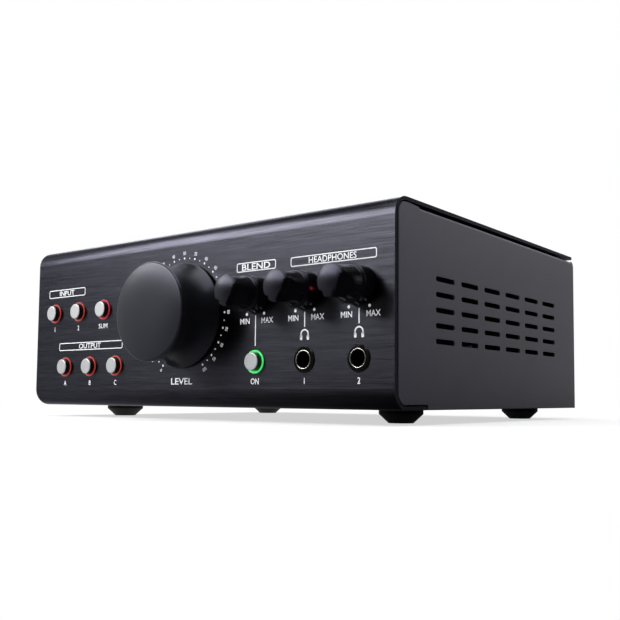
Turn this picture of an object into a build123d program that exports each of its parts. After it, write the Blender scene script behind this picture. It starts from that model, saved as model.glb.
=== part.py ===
"""Desktop studio monitor controller, as an assembly of separate pieces.

Millimetres. X runs to the right and Y runs from the front panel to the rear, both seen from the
front, and Z is up. The model is drawn with Y = 0 on the panel's face and Z = 0 on the desk, and
every piece is then moved so that the origin is the bottom centre of the whole object's box.
"""
from build123d import *
from math import asin, cos, radians, sin
import os

os.makedirs("parts", exist_ok=True)

# ---------------------------------------------------------------- driving dimensions
# case
CASE_WIDTH = 240.0
CASE_HEIGHT = 86.2
FOOT_HEIGHT = 6.2
COVER_SHEET = 1.6
COVER_BEND_RADIUS = 8.6
COVER_REAR_GAP = 3.5
COVER_LIP = 23.8
SIDE_SHEET = 1.0
SIDE_INSET = 0.3
SIDE_LENGTH = 189.1
SIDE_FRONT_GAP = 1.5
SIDE_TOP_GAP = 0.9
SIDE_TAB_GAP = 0.25
SIDE_TAB_END = 13.0
SIDE_TAB_SLOPE = 6.0
SIDE_LIP_GAP = 0.45
SIDE_FRONT_RADIUS = 5.5
SIDE_REAR_RADIUS = 3.0
SIDE_BEND_RADIUS = 1.4
SIDE_EDGE_RADIUS = 0.4
SIDE_FLANGE = 9.0
SIDE_FLANGE_FRONT = 24.0
BASE_SHEET = 1.2
BASE_TONGUE_FRONT = 10.0
REAR_SHEET = 1.2
REAR_FLANGE = 14.0
REAR_RECESS = 0.6
PANEL_JOIN_GAP = 0.2
LIP_JOIN_GAP = 1.9

# vents, on both sides
VENT_COLUMNS = 6
VENT_ROWS = 5
VENT_LENGTH = 16.2
VENT_HEIGHT = 2.3
VENT_FIRST_Y = 40.5
VENT_PITCH_Y = 22.35
VENT_TOP_ABOVE_BASE = 55.7
VENT_PITCH_Z = 6.68

# control places on the panel: X from the middle or in from an edge, Z above the case's underside
VOLUME_X = -0.4
VOLUME_Z = 43.7
LAST_KNOB_INSET = 17.1
SMALL_KNOB_PITCH = 28.3
SMALL_KNOB_Z = 50.4
SOURCE_BUTTON_INSET = 16.2
SOURCE_BUTTON_Z = 50.1
OUTPUT_BUTTON_INSET = 26.8
LOWER_ROW_Z = 20.6
BUTTON_PITCH = 21.2
BUTTONS_IN_A_ROW = 3
JACK_ROW_Z = 20.9

# volume knob
VOLUME_REACH = 22.7
VOLUME_BASE_R = 25.2
VOLUME_BASE_LAND = 1.8
VOLUME_SHOULDER_R = 0.3
VOLUME_WAIST_R = 21.9
VOLUME_FACE_R = 23.0
VOLUME_EDGE_R = 1.5
VOLUME_CROWN = 0.5
VOLUME_WALL = 3.0
VOLUME_HUB_R = 6.5
VOLUME_MARK_WIDTH = 1.2
VOLUME_MARK_DEPTH = 0.5

# small knobs
KNOB_REACH = 20.2
KNOB_BASE_R = 8.3
KNOB_BASE_LAND = 7.8
KNOB_SHOULDER_R = 1.0
KNOB_WAIST_R = 6.6
KNOB_FACE_R = 6.8
KNOB_EDGE_R = 0.8
KNOB_CROWN = 0.7
KNOB_PINCH_R = 9.5
KNOB_PINCH_FLAT = 3.9
KNOB_PINCH_LEVEL = 18.3
KNOB_NOTCH_R = 1.3
KNOB_NOTCH_SIDE = 1.6
KNOB_NOTCH_OUT = 6.7
KNOB_NOTCH_FLOOR = 9.0
KNOB_REST_ANGLE = -150.0
KNOB_GAP = 0.6
KNOB_SEAT = 0.02

# pots and shafts
SHAFT_R = 3.0
SHAFT_CLEARANCE = 0.05
SHAFT_IN_POT = 3.6
SHAFT_SHORT = 14.5
SHAFT_LONG = 18.0
POT_BODY_WIDTH = 11.0
POT_BODY_FRONT = 4.4
SMALL_BUSH_R = 3.5
SMALL_BUSH_REACH = 2.2
SMALL_NUT_ACROSS = 10.0
SMALL_NUT_HEIGHT = 1.8
VOLUME_POT_WIDTH = 17.0
VOLUME_BUSH_R = 4.5
VOLUME_BUSH_REACH = 4.0
VOLUME_NUT_ACROSS = 14.0
VOLUME_NUT_HEIGHT = 2.4
BUSH_CLEARANCE = 0.1
NUT_ROOM = 0.8

# buttons and their lights
CAP_R = 4.0
CAP_REACH = 2.8
CAP_EDGE = 0.45
CAP_BACK = 2.4
BUTTON_TRAVEL = 1.6
PLUNGER_R = 1.7
PLUNGER_END = 8.0
PLUNGER_CLEARANCE = 0.05
SWITCH_WIDTH = 8.4
SWITCH_FRONT = 5.2
SWITCH_WELL_SPARE = 0.6
LIGHT_R = 5.2
LIGHT_BORE_R = 4.45
LIGHT_REACH = 0.3
LIGHT_BACK = 3.4
LIGHT_FLANGE_R = 6.2
LIGHT_FLANGE = 1.0
LIGHT_HOLE_CLEARANCE = 0.1

# power lamp
LAMP_R = 1.5
LAMP_REACH = 0.9
LAMP_BACK = 8.0
LAMP_HOLE_CLEARANCE = 0.1
LAMP_SOCKET_WIDTH = 5.0

# 6.35 mm jacks, front and rear
JACK_BORE_R = 3.25
JACK_BODY_WIDTH = 15.0
JACK_BODY_HEIGHT = 17.0
JACK_BODY_LENGTH = 27.4
JACK_BORE_END_WALL = 2.0
JACK_COLLAR_R = 4.6
JACK_COLLAR_REACH = 0.7
REAR_COLLAR_REACH = 1.6
JACK_HOLE_CLEARANCE = 0.15
JACK_NUT_R = 5.7
JACK_NUT_CHAMFER = 0.55
JACK_RING_R = 4.15
JACK_RING = 0.3
REAR_NUT_ACROSS = 13.0
REAR_NUT_HEIGHT = 1.5

# boards
BOARD = 1.6
FRONT_BOARD_Y = 12.0
FRONT_BOARD_SIDE_GAP = 8.0
FRONT_BOARD_BOTTOM = 12.0
FRONT_BOARD_TOP = 68.0
FRONT_BOARD_NOTCH_TOP = 31.0
FRONT_BOARD_NOTCH_SIDE = 2.5
MAIN_BOARD_SIDE_GAP = 16.0
MAIN_BOARD_FRONT = 34.0
SPACER_HEIGHT = 6.0
SPACER_R = 3.0
SPACER_SIDE_INSET = 6.0
SPACER_FRONT_INSET = 24.0
SPACER_REAR_INSET = 40.0
HEADER_WIDTH = 34.0
HEADER_DEPTH = 6.0
HEADER_HEIGHT = 8.0
HEADER_X = -40.0
HEADER_Z = 44.0
MAIN_HEADER_Y = 46.0
RIBBON_WIDTH = 30.0
RIBBON_SHEET = 1.0
RIBBON_BEND = 12.0
CAPACITOR_R = 6.5
CAPACITOR_HEIGHT = 22.0
CAPACITOR_COUNT = 6
CAPACITOR_SIDE_INSET = 5.0
CAPACITOR_PITCH = 15.0
CAPACITOR_RELAY_GAP = 29.5
RELAY_LENGTH = 20.0
RELAY_WIDTH = 10.0
RELAY_HEIGHT = 11.0
RELAY_COUNT = 4
RELAY_SIDE_INSET = 20.0
RELAY_PITCH = 22.0
RELAY_JACK_GAP = 13.9

# rear sockets, in even columns across the panel
REAR_COLUMNS = 10
REAR_COLUMN_INSET = 21.0
PHONO_BLOCK_WIDTH = 13.0
PHONO_BLOCK_DEPTH = 14.0
PHONO_FIRST_ABOVE_BOARD = 9.0
PHONO_PITCH = 14.5
PHONO_BLOCK_TOP = 8.0
PHONO_NOSE_R = 5.2
PHONO_NOSE_REACH = 1.0
PHONO_SHELL_R = 4.15
PHONO_SHELL_WALL = 0.7
PHONO_SHELL_LENGTH = 7.5
PHONO_CORE_LENGTH = 4.0
PHONO_CONTACT_R = 1.65
PHONO_CONTACT_DEPTH = 9.0
SOCKET_HOLE_CLEARANCE = 0.2
USB_WIDTH = 12.0
USB_HEIGHT = 11.0
USB_DEPTH = 16.0
USB_REACH = 0.6
USB_MOUTH_WIDTH = 8.5
USB_MOUTH_HEIGHT = 7.8
USB_MOUTH_DEPTH = 9.0
USB_TONGUE_WIDTH = 5.6
USB_TONGUE_HEIGHT = 3.2
USB_TONGUE_INSET = 1.0
INLET_WIDTH = 9.0
INLET_HEIGHT = 11.0
INLET_DEPTH = 13.0
INLET_NOSE_R = 4.2
INLET_REACH = 0.5
INLET_BORE_R = 2.8
INLET_BORE_DEPTH = 9.5
INLET_PIN_R = 1.0
INLET_PIN_INSET = 1.0
SWITCH_Z = 56.0
SWITCH_BEZEL_WIDTH = 15.0
SWITCH_BEZEL_HEIGHT = 21.0
SWITCH_BEZEL = 1.6
SWITCH_BODY_WIDTH = 12.8
SWITCH_BODY_HEIGHT = 19.0
SWITCH_BODY_DEPTH = 14.0
SWITCH_MOUTH_WIDTH = 9.8
SWITCH_MOUTH_HEIGHT = 15.8
SWITCH_MOUTH_DEPTH = 7.0
ROCKER_GAP = 0.35
ROCKER_HALF = 7.3
ROCKER_LIFT = 2.6
ROCKER_MIDDLE = 1.0
ROCKER_ROOT = 3.6
ROCKER_TILT = 12.0
ROCKER_PIN_R = 1.2
ROCKER_PIN = 0.8
ROCKER_PIN_CLEARANCE = 0.05

# feet and screws
FOOT_INSET = 24.5
FOOT_FRONT_Y = 43.0
FOOT_REAR_INSET = 21.6
FOOT_R = 10.0
FOOT_FLAT_R = 5.6
FOOT_CHAMFER = 4.1
FOOT_WELL_R = 3.6
FOOT_WELL = 3.4
SCREW_R = 1.5
SCREW_CLEARANCE = 0.05
SCREW_HEAD_R = 2.8
SCREW_HEAD = 1.7
FLUSH_HEAD_R = 2.6
FLUSH_HEAD = 1.0
SCREW_LENGTH = 6.0
CASE_SCREW_LENGTH = 4.6
SIDE_SCREW_INSET = 7.0
COVER_SCREW_INSET = 9.6
LIP_SCREW_INSET = 40.0
LIP_SCREW_Y = 17.0
BASE_SCREW_FRONT_Y = 60.0
BASE_SCREW_REAR_INSET = 39.1
REAR_SCREW_Z = (14.0, 70.0)

# ---------------------------------------------------------------- worked out from them
CASE_BOTTOM = FOOT_HEIGHT
CASE_TOP = FOOT_HEIGHT + CASE_HEIGHT
HALF_WIDTH = CASE_WIDTH / 2
SIDE_OUT = HALF_WIDTH - SIDE_INSET
SIDE_IN = SIDE_OUT - SIDE_SHEET
SIDE_TOP = CASE_TOP - COVER_SHEET - SIDE_TOP_GAP
REAR_OUT = SIDE_LENGTH - REAR_RECESS
REAR_IN = REAR_OUT - REAR_SHEET
COVER_LENGTH = SIDE_LENGTH - COVER_REAR_GAP
BASE_TOP = CASE_BOTTOM + BASE_SHEET
LIP_TOP = CASE_BOTTOM + COVER_SHEET
FLANGE_EDGE = SIDE_IN - SIDE_FLANGE
BASE_FRONT = COVER_LIP + LIP_JOIN_GAP
BOARD_BOTTOM = BASE_TOP + SPACER_HEIGHT
BOARD_TOP = BOARD_BOTTOM + BOARD
REAR_JACK_Z = BOARD_TOP + JACK_BODY_HEIGHT / 2
USB_Z = BOARD_TOP + USB_HEIGHT / 2
INLET_Z = BOARD_TOP + INLET_HEIGHT / 2
PHONO_Z = (BOARD_TOP + PHONO_FIRST_ABOVE_BOARD, BOARD_TOP + PHONO_FIRST_ABOVE_BOARD + PHONO_PITCH)
REAR_REACH = REAR_OUT + PHONO_NOSE_REACH + PHONO_SHELL_LENGTH
ORIGIN_Y = (REAR_REACH - VOLUME_REACH) / 2
FRONT_BOARD_WIDTH = CASE_WIDTH - 2 * FRONT_BOARD_SIDE_GAP
MAIN_BOARD_WIDTH = CASE_WIDTH - 2 * MAIN_BOARD_SIDE_GAP
MAIN_BOARD_SIDE = MAIN_BOARD_WIDTH / 2
SPACER_X = (SPACER_SIDE_INSET - MAIN_BOARD_SIDE, 0.0, MAIN_BOARD_SIDE - SPACER_SIDE_INSET)
CAPACITOR_FIRST_X = MAIN_BOARD_SIDE - CAPACITOR_SIDE_INSET - (CAPACITOR_COUNT - 1) * CAPACITOR_PITCH
RELAY_FIRST_X = RELAY_SIDE_INSET - MAIN_BOARD_SIDE
RELAY_Y = REAR_IN - JACK_BODY_LENGTH - RELAY_JACK_GAP - RELAY_LENGTH
CAPACITOR_Y = RELAY_Y - CAPACITOR_RELAY_GAP - CAPACITOR_R
FOOT_X = HALF_WIDTH - FOOT_INSET
FOOT_REAR_Y = SIDE_LENGTH - FOOT_REAR_INSET
COVER_SCREW_X = HALF_WIDTH - SIDE_SCREW_INSET
COVER_SCREW_Y = COVER_LENGTH - COVER_SCREW_INSET
BASE_SCREW_Y = (BASE_SCREW_FRONT_Y, SIDE_LENGTH - BASE_SCREW_REAR_INSET)
LIP_SCREW_X = (LIP_SCREW_INSET - HALF_WIDTH, 0.0, HALF_WIDTH - LIP_SCREW_INSET)
REAR_PITCH = (CASE_WIDTH - 2 * REAR_COLUMN_INSET) / (REAR_COLUMNS - 1)
REAR_X = [REAR_COLUMN_INSET - HALF_WIDTH + i * REAR_PITCH for i in range(REAR_COLUMNS)]
REAR_JACK_X = {"source_1": REAR_X[5:7], "output_a": REAR_X[2:4], "output_b": REAR_X[0:2]}
PHONO_X = (REAR_X[4], REAR_X[7])
USB_X = REAR_X[8]
POWER_X = REAR_X[9]
SCREW_HOLE_R = SCREW_R + SCREW_CLEARANCE
SPACER_Y = (MAIN_BOARD_FRONT + SPACER_FRONT_INSET, REAR_IN - SPACER_REAR_INSET)
KNOB_NAMES = ("crossfeed", "phones_1", "phones_2")
SMALL_KNOB_X = HALF_WIDTH - LAST_KNOB_INSET - (len(KNOB_NAMES) - 1) * SMALL_KNOB_PITCH
KNOB_X = [SMALL_KNOB_X + i * SMALL_KNOB_PITCH for i in range(len(KNOB_NAMES))]
KNOB_Z = CASE_BOTTOM + SMALL_KNOB_Z
JACK_X = KNOB_X[1:]
POWER_LAMP_X = sum(JACK_X) / len(JACK_X)
JACK_Z = CASE_BOTTOM + JACK_ROW_Z


def button_row(inset, z):
    """The places of a row of buttons that starts a given distance in from the left edge."""
    return [(inset - HALF_WIDTH + i * BUTTON_PITCH, CASE_BOTTOM + z) for i in range(BUTTONS_IN_A_ROW)]


source_places = button_row(SOURCE_BUTTON_INSET, SOURCE_BUTTON_Z)
output_places = button_row(OUTPUT_BUTTON_INSET, LOWER_ROW_Z)
BUTTONS = dict(zip(("source_1", "source_2", "mono"), source_places))
BUTTONS.update(zip(("output_a", "output_b", "output_c"), output_places))
BUTTONS["crossfeed"] = (SMALL_KNOB_X, CASE_BOTTOM + LOWER_ROW_Z)


# ---------------------------------------------------------------- shape helpers
def block(x_span, y_span, z_span):
    """A box between two X, two Y and two Z values."""
    spans = (x_span, y_span, z_span)
    sizes = [abs(high - low) for low, high in spans]
    middle = [(low + high) / 2 for low, high in spans]
    return Pos(*middle) * Box(*sizes)


def rod(x, z, y_span, radius):
    """A round bar along Y."""
    low, high = min(y_span), max(y_span)
    return Pos(x, (low + high) / 2, z) * Rot(90, 0, 0) * Cylinder(radius, high - low)


def post(x, y, z_span, radius):
    """A round bar along Z."""
    low, high = min(z_span), max(z_span)
    return Pos(x, y, (low + high) / 2) * Cylinder(radius, high - low)


def countersunk(x, y, surface, up):
    """A screw hole along Z with a cone for a flush head, cut from a sheet's outer surface."""
    cone = Pos(0, 0, FLUSH_HEAD / 2) * Cone(FLUSH_HEAD_R + SCREW_CLEARANCE, SCREW_HOLE_R, FLUSH_HEAD)
    hole = cone + post(0, 0, (0, CASE_SCREW_LENGTH), SCREW_HOLE_R)
    turn = Rot(0, 0, 0) if up else Rot(180, 0, 0)
    return Pos(x, y, surface) * turn * hole


def nut(x, z, y_span, across, bore_radius):
    """A hexagon nut on an axis along Y."""
    low, high = min(y_span), max(y_span)
    hexagon = extrude(RegularPolygon(across / 2, 6, major_radius=False), high - low)
    return Pos(x, high, z) * Rot(90, 0, 0) * hexagon - rod(x, z, (low, high), bore_radius)


def turned(x, z, outline):
    """A solid of revolution about an axis along Y: outline is a closed face drawn in radius and Y."""
    return Pos(x, 0, z) * revolve(outline, Axis.Y, 360)


def save(name, *pieces):
    """Write one node, moved to the object's own origin."""
    moved = [Pos(0, -ORIGIN_Y, 0) * piece for piece in pieces]
    shape = moved[0] if len(moved) == 1 else Compound(children=moved)
    export_step(shape, f"parts/{name}.step")


# ---------------------------------------------------------------- case
def front_holes():
    """Every hole that the controls need in the panel."""
    through = (-1.0, COVER_SHEET + 1.0)
    holes = [rod(VOLUME_X, CASE_BOTTOM + VOLUME_Z, through, VOLUME_BUSH_R + BUSH_CLEARANCE)]
    holes += [rod(x, KNOB_Z, through, SMALL_BUSH_R + BUSH_CLEARANCE) for x in KNOB_X]
    holes += [rod(x, z, through, LIGHT_R + LIGHT_HOLE_CLEARANCE) for x, z in BUTTONS.values()]
    holes += [rod(x, JACK_Z, through, JACK_COLLAR_R + JACK_HOLE_CLEARANCE) for x in JACK_X]
    holes.append(rod(POWER_LAMP_X, KNOB_Z, through, LAMP_R + LAMP_HOLE_CLEARANCE))
    return holes


def front_top_cover():
    """One sheet: top, front and a short lip under the case, with two bends."""
    outer = Pos(COVER_LENGTH / 2, CASE_BOTTOM + CASE_HEIGHT / 2) * Rectangle(COVER_LENGTH, CASE_HEIGHT)
    outer = fillet(outer.vertices().group_by(Axis.X)[0], COVER_BEND_RADIUS)
    room_length = COVER_LENGTH + COVER_SHEET
    room_height = CASE_HEIGHT - 2 * COVER_SHEET
    room_middle = (COVER_SHEET + room_length / 2, CASE_BOTTOM + CASE_HEIGHT / 2)
    room = Pos(*room_middle) * Rectangle(room_length, room_height)
    room = fillet(room.vertices().group_by(Axis.X)[0], COVER_BEND_RADIUS - COVER_SHEET)
    behind_lip = Pos(COVER_LIP + room_length / 2, CASE_BOTTOM) * Rectangle(room_length, 4 * COVER_SHEET)
    section = Plane.YZ * (outer - room - behind_lip)
    sheet = Pos(-HALF_WIDTH, 0, 0) * extrude(section, CASE_WIDTH, dir=(1, 0, 0))
    for hole in front_holes():
        sheet -= hole
    for x in (-COVER_SCREW_X, COVER_SCREW_X):
        sheet -= countersunk(x, COVER_SCREW_Y, CASE_TOP, False)
    for x in LIP_SCREW_X:
        sheet -= countersunk(x, LIP_SCREW_Y, CASE_BOTTOM, True)
    return sheet


def vent(y, z):
    """One slot with round ends, cut across the side sheet."""
    slot = Plane.YZ * (Pos(y, z) * SlotOverall(VENT_LENGTH, VENT_HEIGHT))
    return Pos(SIDE_IN - SIDE_SHEET, 0, 0) * extrude(slot, 3 * SIDE_SHEET, dir=(1, 0, 0))


def bend_waste(y_span):
    """What the bend into the top flange leaves away: a square bar less a round one."""
    x = SIDE_OUT - SIDE_BEND_RADIUS
    z = SIDE_TOP - SIDE_BEND_RADIUS
    return block((x, SIDE_OUT + 1), y_span, (z, SIDE_TOP + 1)) - rod(x, z, y_span, SIDE_BEND_RADIUS)


def side_panel():
    """The right side: a vented sheet with flanges turned in at the top, rear and bottom."""
    front = COVER_SHEET + SIDE_FRONT_GAP
    tab_top = CASE_TOP - COVER_SHEET - SIDE_TAB_GAP
    lip_clear = LIP_TOP + SIDE_LIP_GAP
    corners = [
        (front, lip_clear),
        (front, tab_top),
        (SIDE_TAB_END, tab_top),
        (SIDE_TAB_END + SIDE_TAB_SLOPE, SIDE_TOP),
        (SIDE_LENGTH, SIDE_TOP),
        (SIDE_LENGTH, CASE_BOTTOM),
        (BASE_FRONT, CASE_BOTTOM),
        (BASE_FRONT, lip_clear),
    ]
    face = make_face(Polyline(*corners, close=True))
    ends = face.vertices().group_by(Axis.X)
    face = fillet(ends[0], SIDE_FRONT_RADIUS)
    rear_top = face.vertices().group_by(Axis.X)[-1].sort_by(Axis.Y)[-1]
    face = fillet(rear_top, SIDE_REAR_RADIUS)
    sheet = Pos(SIDE_IN, 0, 0) * extrude(Plane.YZ * face, SIDE_SHEET, dir=(1, 0, 0))
    sheet = fillet(sheet.faces().sort_by(Axis.X)[-1].edges(), SIDE_EDGE_RADIUS)
    flange_rear = REAR_IN - 2 * SIDE_SHEET
    across = (FLANGE_EDGE, SIDE_IN)
    sheet += block(across, (SIDE_FLANGE_FRONT, flange_rear), (SIDE_TOP - SIDE_SHEET, SIDE_TOP))
    sheet += block(across, (BASE_FRONT + SIDE_FLANGE, flange_rear), (BASE_TOP, BASE_TOP + SIDE_SHEET))
    rear_tall = (BASE_TOP + 2 * SIDE_SHEET, SIDE_TOP - 2 * SIDE_SHEET)
    sheet += block(across, (REAR_IN - SIDE_SHEET, REAR_IN), rear_tall)
    sheet -= bend_waste((SIDE_TAB_END + SIDE_TAB_SLOPE, SIDE_LENGTH - SIDE_REAR_RADIUS))
    for column in range(VENT_COLUMNS):
        for row in range(VENT_ROWS):
            y = VENT_FIRST_Y + column * VENT_PITCH_Y
            z = CASE_BOTTOM + VENT_TOP_ABOVE_BASE - row * VENT_PITCH_Z
            sheet -= vent(y, z)
    sheet -= post(COVER_SCREW_X, COVER_SCREW_Y, (SIDE_TOP - 2 * SIDE_SHEET, SIDE_TOP + 1), SCREW_HOLE_R)
    for y in BASE_SCREW_Y:
        sheet -= post(COVER_SCREW_X, y, (CASE_BOTTOM, BASE_TOP + 2 * SIDE_SHEET), SCREW_HOLE_R)
    for z in REAR_SCREW_Z:
        hole_z = CASE_BOTTOM + z
        sheet -= rod(COVER_SCREW_X, hole_z, (REAR_IN - 2 * SIDE_SHEET, REAR_IN + 1), SCREW_HOLE_R)
    return sheet


def base_plate():
    """The floor, with a front tongue that steps up over the cover's lip."""
    reach = SIDE_IN - PANEL_JOIN_GAP
    across = (-reach, reach)
    tongue_across = (-reach + SIDE_FLANGE, reach - SIDE_FLANGE)
    tongue_top = LIP_TOP + BASE_SHEET
    riser_back = BASE_FRONT + BASE_SHEET
    plate = block(across, (BASE_FRONT, REAR_IN), (CASE_BOTTOM, BASE_TOP))
    plate += block(tongue_across, (BASE_FRONT, riser_back), (CASE_BOTTOM, tongue_top))
    plate += block(tongue_across, (BASE_TONGUE_FRONT, riser_back), (LIP_TOP, tongue_top))
    for x in LIP_SCREW_X:
        plate -= post(x, LIP_SCREW_Y, (LIP_TOP - 1, LIP_TOP + 2 * BASE_SHEET), SCREW_HOLE_R)
    for x in (-FOOT_X, FOOT_X):
        for y in (FOOT_FRONT_Y, FOOT_REAR_Y):
            plate -= post(x, y, (CASE_BOTTOM - 1, BASE_TOP + 1), SCREW_HOLE_R)
    for x in (-COVER_SCREW_X, COVER_SCREW_X):
        for y in BASE_SCREW_Y:
            plate -= countersunk(x, y, CASE_BOTTOM, True)
    return plate


def rear_panel():
    """The flat rear sheet between the sides, with a hole for each socket."""
    reach = SIDE_IN - PANEL_JOIN_GAP
    sheet = block((-reach, reach), (REAR_IN, REAR_OUT), (CASE_BOTTOM, SIDE_TOP))
    flange_reach = FLANGE_EDGE - PANEL_JOIN_GAP
    flange_deep = (REAR_OUT - REAR_FLANGE, REAR_OUT)
    sheet += block((-flange_reach, flange_reach), flange_deep, (SIDE_TOP - REAR_SHEET, SIDE_TOP))
    through = (REAR_IN - 1, REAR_OUT + 1)
    for places in REAR_JACK_X.values():
        for x in places:
            sheet -= rod(x, REAR_JACK_Z, through, JACK_COLLAR_R + JACK_HOLE_CLEARANCE)
    for x in PHONO_X:
        for z in PHONO_Z:
            sheet -= rod(x, z, through, PHONO_NOSE_R + SOCKET_HOLE_CLEARANCE)
    usb_half = USB_WIDTH / 2 + SOCKET_HOLE_CLEARANCE
    usb_tall = USB_HEIGHT / 2 + SOCKET_HOLE_CLEARANCE
    sheet -= block((USB_X - usb_half, USB_X + usb_half), through, (USB_Z - usb_tall, USB_Z + usb_tall))
    sheet -= rod(POWER_X, INLET_Z, through, INLET_NOSE_R + SOCKET_HOLE_CLEARANCE)
    switch_half = SWITCH_BODY_WIDTH / 2 + SOCKET_HOLE_CLEARANCE
    switch_tall = SWITCH_BODY_HEIGHT / 2 + SOCKET_HOLE_CLEARANCE
    switch_z = CASE_BOTTOM + SWITCH_Z
    switch_x = (POWER_X - switch_half, POWER_X + switch_half)
    sheet -= block(switch_x, through, (switch_z - switch_tall, switch_z + switch_tall))
    for x in (-COVER_SCREW_X, COVER_SCREW_X):
        for z in REAR_SCREW_Z:
            sheet -= rod(x, CASE_BOTTOM + z, through, SCREW_HOLE_R)
    return sheet


# ---------------------------------------------------------------- knobs, pots and shafts
def waisted_outline(reach, base_r, land, shoulder_r, waist_r, face_r, edge_r, crown):
    """Half section of a knob: base, round shoulder, hollow flank, round edge and low crown."""
    back = -KNOB_GAP
    edge_start = -(reach - crown - edge_r)
    mid_flank = (-land + edge_start) / 2
    rim = (base_r, shoulder_r - land)
    ledge = (base_r - shoulder_r, -land)
    rim_mid = (ledge[0] + shoulder_r * cos(radians(45)), rim[1] - shoulder_r * sin(radians(45)))
    shoulder = ThreePointArc(rim, rim_mid, ledge)
    flank = ThreePointArc(ledge, (waist_r, mid_flank), (face_r, edge_start))
    edge_mid = (face_r - edge_r + edge_r * cos(radians(45)), edge_start - edge_r * sin(radians(45)))
    edge = ThreePointArc((face_r, edge_start), edge_mid, (face_r - edge_r, edge_start - edge_r))
    crown_r = ((face_r - edge_r) ** 2 + crown**2) / (2 * crown)
    half_angle = asin((face_r - edge_r) / crown_r) / 2
    crown_mid = (crown_r * sin(half_angle), -reach + crown_r * (1 - cos(half_angle)))
    face = ThreePointArc((face_r - edge_r, edge_start - edge_r), crown_mid, (0, -reach))
    sides = Polyline((0, -reach), (0, back), (base_r, back), rim)
    return make_face(Curve() + [shoulder, flank, edge, face, sides])


def volume_knob():
    """The big knob: a turned shell round a hub, with a pointer groove in the base's rim."""
    z = CASE_BOTTOM + VOLUME_Z
    base = (VOLUME_BASE_R, VOLUME_BASE_LAND, VOLUME_SHOULDER_R)
    face = (VOLUME_FACE_R, VOLUME_EDGE_R, VOLUME_CROWN)
    knob = turned(VOLUME_X, z, waisted_outline(VOLUME_REACH, *base, VOLUME_WAIST_R, *face))
    hollow = (-(VOLUME_REACH - VOLUME_CROWN - VOLUME_WALL), 0)
    knob -= rod(VOLUME_X, z, hollow, VOLUME_WAIST_R - VOLUME_WALL) - rod(VOLUME_X, z, hollow, VOLUME_HUB_R)
    nut_room = -(VOLUME_BUSH_REACH + NUT_ROOM)
    knob -= rod(VOLUME_X, z, (nut_room, 0), VOLUME_NUT_ACROSS / 2 + 2 * NUT_ROOM)
    knob -= rod(VOLUME_X, z, (-SHAFT_LONG, 0), SHAFT_R + KNOB_SEAT)
    mark_half = VOLUME_MARK_WIDTH / 2
    mark_out = (VOLUME_BASE_R - VOLUME_MARK_DEPTH, VOLUME_BASE_R + 1)
    mark = block((-mark_half, mark_half), (-VOLUME_BASE_LAND, 0), mark_out)
    return knob - Pos(VOLUME_X, 0, z) * Rot(0, KNOB_REST_ANGLE, 0) * mark


def small_knob(x):
    """A finger knob: a turned body, pinched on one side of its pointer and notched on the other."""
    base = (KNOB_BASE_R, KNOB_BASE_LAND, KNOB_SHOULDER_R)
    face = (KNOB_FACE_R, KNOB_EDGE_R, KNOB_CROWN)
    knob = turned(0, 0, waisted_outline(KNOB_REACH, *base, KNOB_WAIST_R, *face))
    pinch = Cylinder(KNOB_PINCH_R, 4 * KNOB_BASE_R)
    knob -= Pos(-(KNOB_PINCH_FLAT + KNOB_PINCH_R), -KNOB_PINCH_LEVEL, 0) * pinch
    knob -= rod(KNOB_NOTCH_SIDE, KNOB_NOTCH_OUT, (-KNOB_REACH - 1, -KNOB_NOTCH_FLOOR), KNOB_NOTCH_R)
    knob -= Pos(KNOB_NOTCH_SIDE, -KNOB_NOTCH_FLOOR, KNOB_NOTCH_OUT) * Sphere(KNOB_NOTCH_R)
    knob -= rod(0, 0, (-(SMALL_BUSH_REACH + NUT_ROOM), 0), SMALL_NUT_ACROSS / 2 + NUT_ROOM)
    knob -= rod(0, 0, (-SHAFT_SHORT, 0), SHAFT_R + KNOB_SEAT)
    return Pos(x, 0, KNOB_Z) * Rot(0, KNOB_REST_ANGLE, 0) * knob


def pot(x, z, width, bush_r, bush_reach):
    """A potentiometer: a square case on the front board and a threaded bush through the panel."""
    half = width / 2
    case = block((x - half, x + half), (POT_BODY_FRONT, FRONT_BOARD_Y), (z - half, z + half))
    case += rod(x, z, (-bush_reach, POT_BODY_FRONT), bush_r)
    return case - rod(x, z, (-bush_reach - 1, POT_BODY_FRONT + SHAFT_IN_POT), SHAFT_R + SHAFT_CLEARANCE)


def shaft(x, z, knob_reach):
    """The steel shaft, from inside the pot to inside the knob."""
    back = POT_BODY_FRONT + SHAFT_IN_POT - SHAFT_CLEARANCE
    return rod(x, z, (-knob_reach, back), SHAFT_R)


# ---------------------------------------------------------------- buttons
def button(x, z):
    """A cap with its plunger, in one piece."""
    cap = rod(x, z, (-CAP_REACH, CAP_BACK), CAP_R)
    cap = fillet(cap.edges().filter_by(GeomType.CIRCLE).sort_by(Axis.Y)[0], CAP_EDGE)
    return cap + rod(x, z, (CAP_BACK, PLUNGER_END), PLUNGER_R)


def light_ring(x, z):
    """The light guide round a button, held by its flange behind the panel."""
    ring = rod(x, z, (-LIGHT_REACH, LIGHT_BACK), LIGHT_R)
    ring += rod(x, z, (COVER_SHEET, COVER_SHEET + LIGHT_FLANGE), LIGHT_FLANGE_R)
    return ring - rod(x, z, (-LIGHT_REACH - 1, LIGHT_BACK + 1), LIGHT_BORE_R)


def power_lamp():
    """The small lamp: a lens through the panel on a square socket on the front board."""
    lens = rod(POWER_LAMP_X, KNOB_Z, (-LAMP_REACH, LAMP_BACK), LAMP_R)
    lens = fillet(lens.edges().filter_by(GeomType.CIRCLE).sort_by(Axis.Y)[0], LAMP_REACH)
    half = LAMP_SOCKET_WIDTH / 2
    across = (POWER_LAMP_X - half, POWER_LAMP_X + half)
    return lens + block(across, (LAMP_BACK, FRONT_BOARD_Y), (KNOB_Z - half, KNOB_Z + half))


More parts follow.
